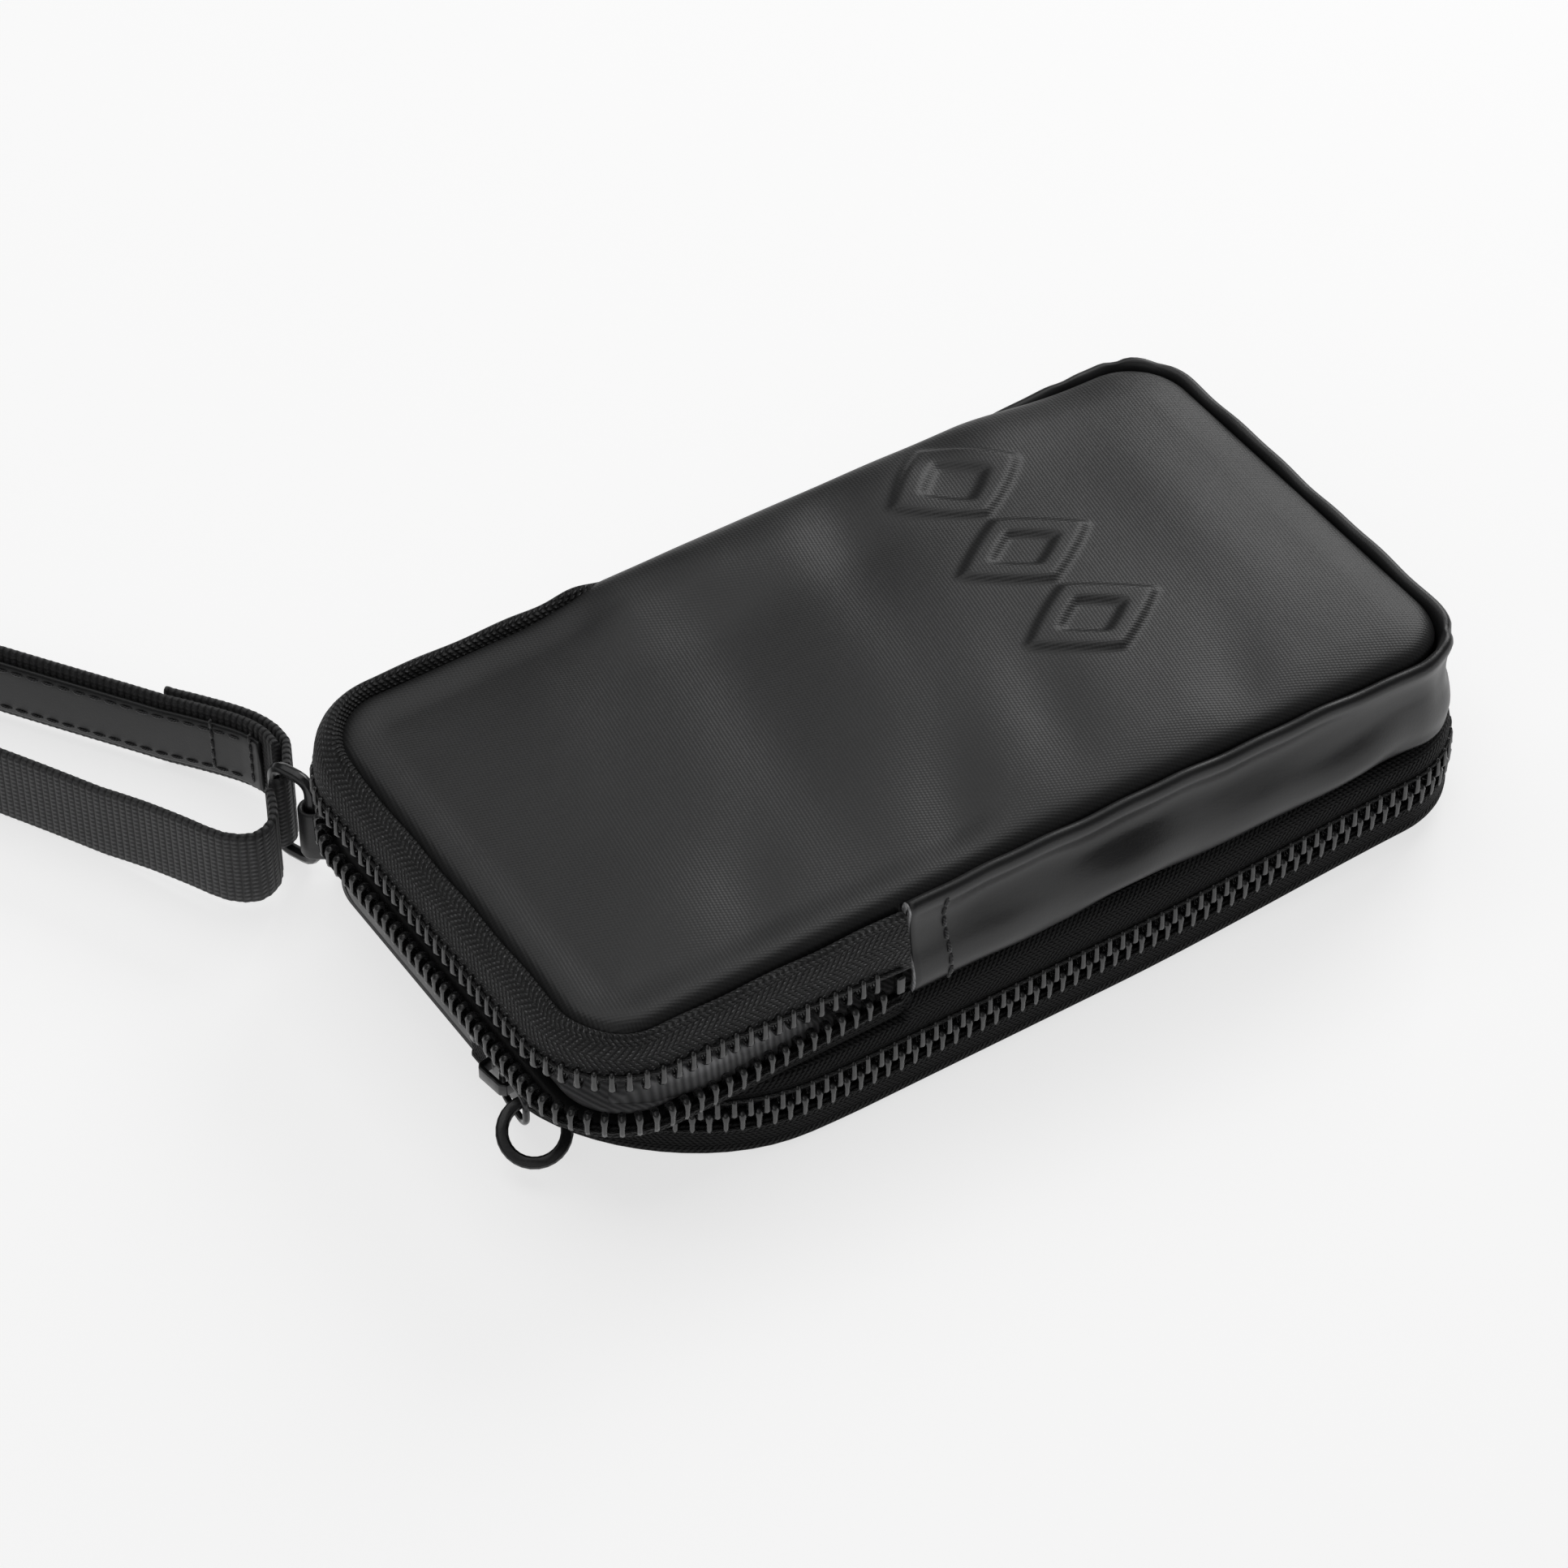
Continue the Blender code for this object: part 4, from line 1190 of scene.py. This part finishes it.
def stitched_on(rows, pitch, gap):
    """Stitches along a 3D line that dip towards the strip at their ends."""
    at = distances(rows)
    xs, ys, zs = ([p[k] for p in rows] for k in range(3))

    def spot(d):
        return Vector((np.interp(d, at, xs), np.interp(d, at, ys), np.interp(d, at, zs)))

    tubes = []
    for n in range(int(at[-1] / pitch)):
        start, end = n * pitch + gap / 2, (n + 1) * pitch - gap / 2
        middle = (start + end) / 2
        way = (spot(middle + 0.2) - spot(middle - 0.2)).normalized()
        out = Vector((-way.y, way.x, 0)).normalized()
        tube = []
        for k in range(6):
            t = k / 5
            lift = -0.22 + 0.36 * math.sin(math.pi * t) ** 0.6 if 0 < t < 1 else -0.22
            tube.append(spot(start + (end - start) * t) + out * lift)
        tubes.append(tube)
    return tubes


def bar_stitches(line):
    """The box of stitches that joins the folded tail to the webbing, seen on the overlay."""
    face = offset_line(line, OVERLAY_OUT + 0.45)
    tubes = []
    for i in (3, 6):
        p = face[i]
        way = (face[i + 1] - face[i - 1]).normalized()
        out = Vector((-way.y, way.x, 0))
        for k in range(5):
            z = strap_middle(p) - 4.4 + 2.2 * k
            a = Vector((p.x, p.y, z + 0.3))
            b = Vector((p.x, p.y, z + 1.9))
            tubes.append([a - out * 0.2, a + out * 0.1, (a + b) / 2 + out * 0.18, b + out * 0.1,
                          b - out * 0.2])
    return tubes_piece("strap_bar_stitches", tubes, 0.24, THREAD, sides=6)


def make_tab():
    """The leather tab that holds the strap's ring in the far left corner."""
    inner = Vector((-80.5, 45.6))
    base = Vector((LOWER_X0 + FAR_R, FAR_Y - FAR_R))
    out = (inner - base).normalized()
    side = Vector((-out.y, out.x))
    foot = base + out * (FAR_R + 0.95)
    loop_r = 1.9
    line = [foot + side * 1.0]
    for i in range(17):
        angle = math.radians(100 - 12.5 * i)
        line.append(inner + out * loop_r * math.cos(angle) + side * loop_r * math.sin(angle))
    line.append(foot - side * 1.0)
    tab = strap_strip("strap_tab_loop", line, 10.0, 0.9, STRAP_LEATHER, middle=lambda p: 9.2, step=0.3)
    finish_piece(tab, "back_cover", "strap_leather", "strap_tab")


# ---- camera, light and floor

def make_camera():
    data = bpy.data.cameras.new("camera")
    data.lens, data.sensor_width, data.sensor_fit = LENS, SENSOR, "HORIZONTAL"
    data.clip_start, data.clip_end = 0.05, 10
    camera = new_object("camera", data)
    a, e = math.radians(AZIMUTH), math.radians(ELEVATION)
    back = Vector((math.sin(a) * math.cos(e), -math.cos(a) * math.cos(e), math.sin(e)))
    camera.location = (Vector(TARGET) + back * DISTANCE) * MM
    camera.rotation_euler = back.to_track_quat("Z", "Y").to_euler()
    bpy.context.scene.camera = camera


def area_light(name, place, target, size, watts):
    data = bpy.data.lights.new(name, "AREA")
    data.size, data.energy = size, watts
    light = new_object(name, data)
    light.location = place
    light.rotation_euler = (Vector(place) - Vector(target)).to_track_quat("Z", "Y").to_euler()


def make_room():
    scene = bpy.context.scene
    world = bpy.data.worlds.new("studio")
    world.use_nodes = True
    background = world.node_tree.nodes["Background"].inputs
    background["Color"].default_value = (1.0, 1.0, 1.0, 1.0)
    background["Strength"].default_value = 0.11
    scene.world = world
    scene.view_settings.view_transform = "Standard"
    scene.view_settings.look = "None"
    area_light("top", (-0.05, 0.35, 1.2), (0, 0, 0), 1.2, 4.6)
    area_light("window", (0.88, 0.52, 0.66), (0.03, 0, 0), 0.6, 4.3)
    area_light("fill", (-0.9, -0.8, 1.1), (0, 0, 0), 1.1, 1.9)
    m = Shader("studio_floor", (0.46, 0.46, 0.46), 0.7)
    m.color(m.noise(8, 2), (0.455, 0.455, 0.455), (0.465, 0.465, 0.465))
    m.set("Specular IOR Level", 0.1)
    m.set("Emission Color", (1.0, 1.0, 1.0, 1.0))
    m.set("Emission Strength", 0.69)
    bm = bmesh.new()
    bmesh.ops.create_grid(bm, x_segments=8, y_segments=8, size=3.0)
    mesh = bpy.data.meshes.new("floor")
    bm.to_mesh(mesh)
    bm.free()
    floor = new_object("floor", mesh)
    mesh.materials.append(m.material)


def main():
    make_camera()
    make_strap()
    make_room()
    make_front()
    make_gusset()
    make_upper_zip()
    make_lower_zip()
    make_divider()
    make_back()
    make_lower_walls()
    make_hardware()
    make_tab()


main()
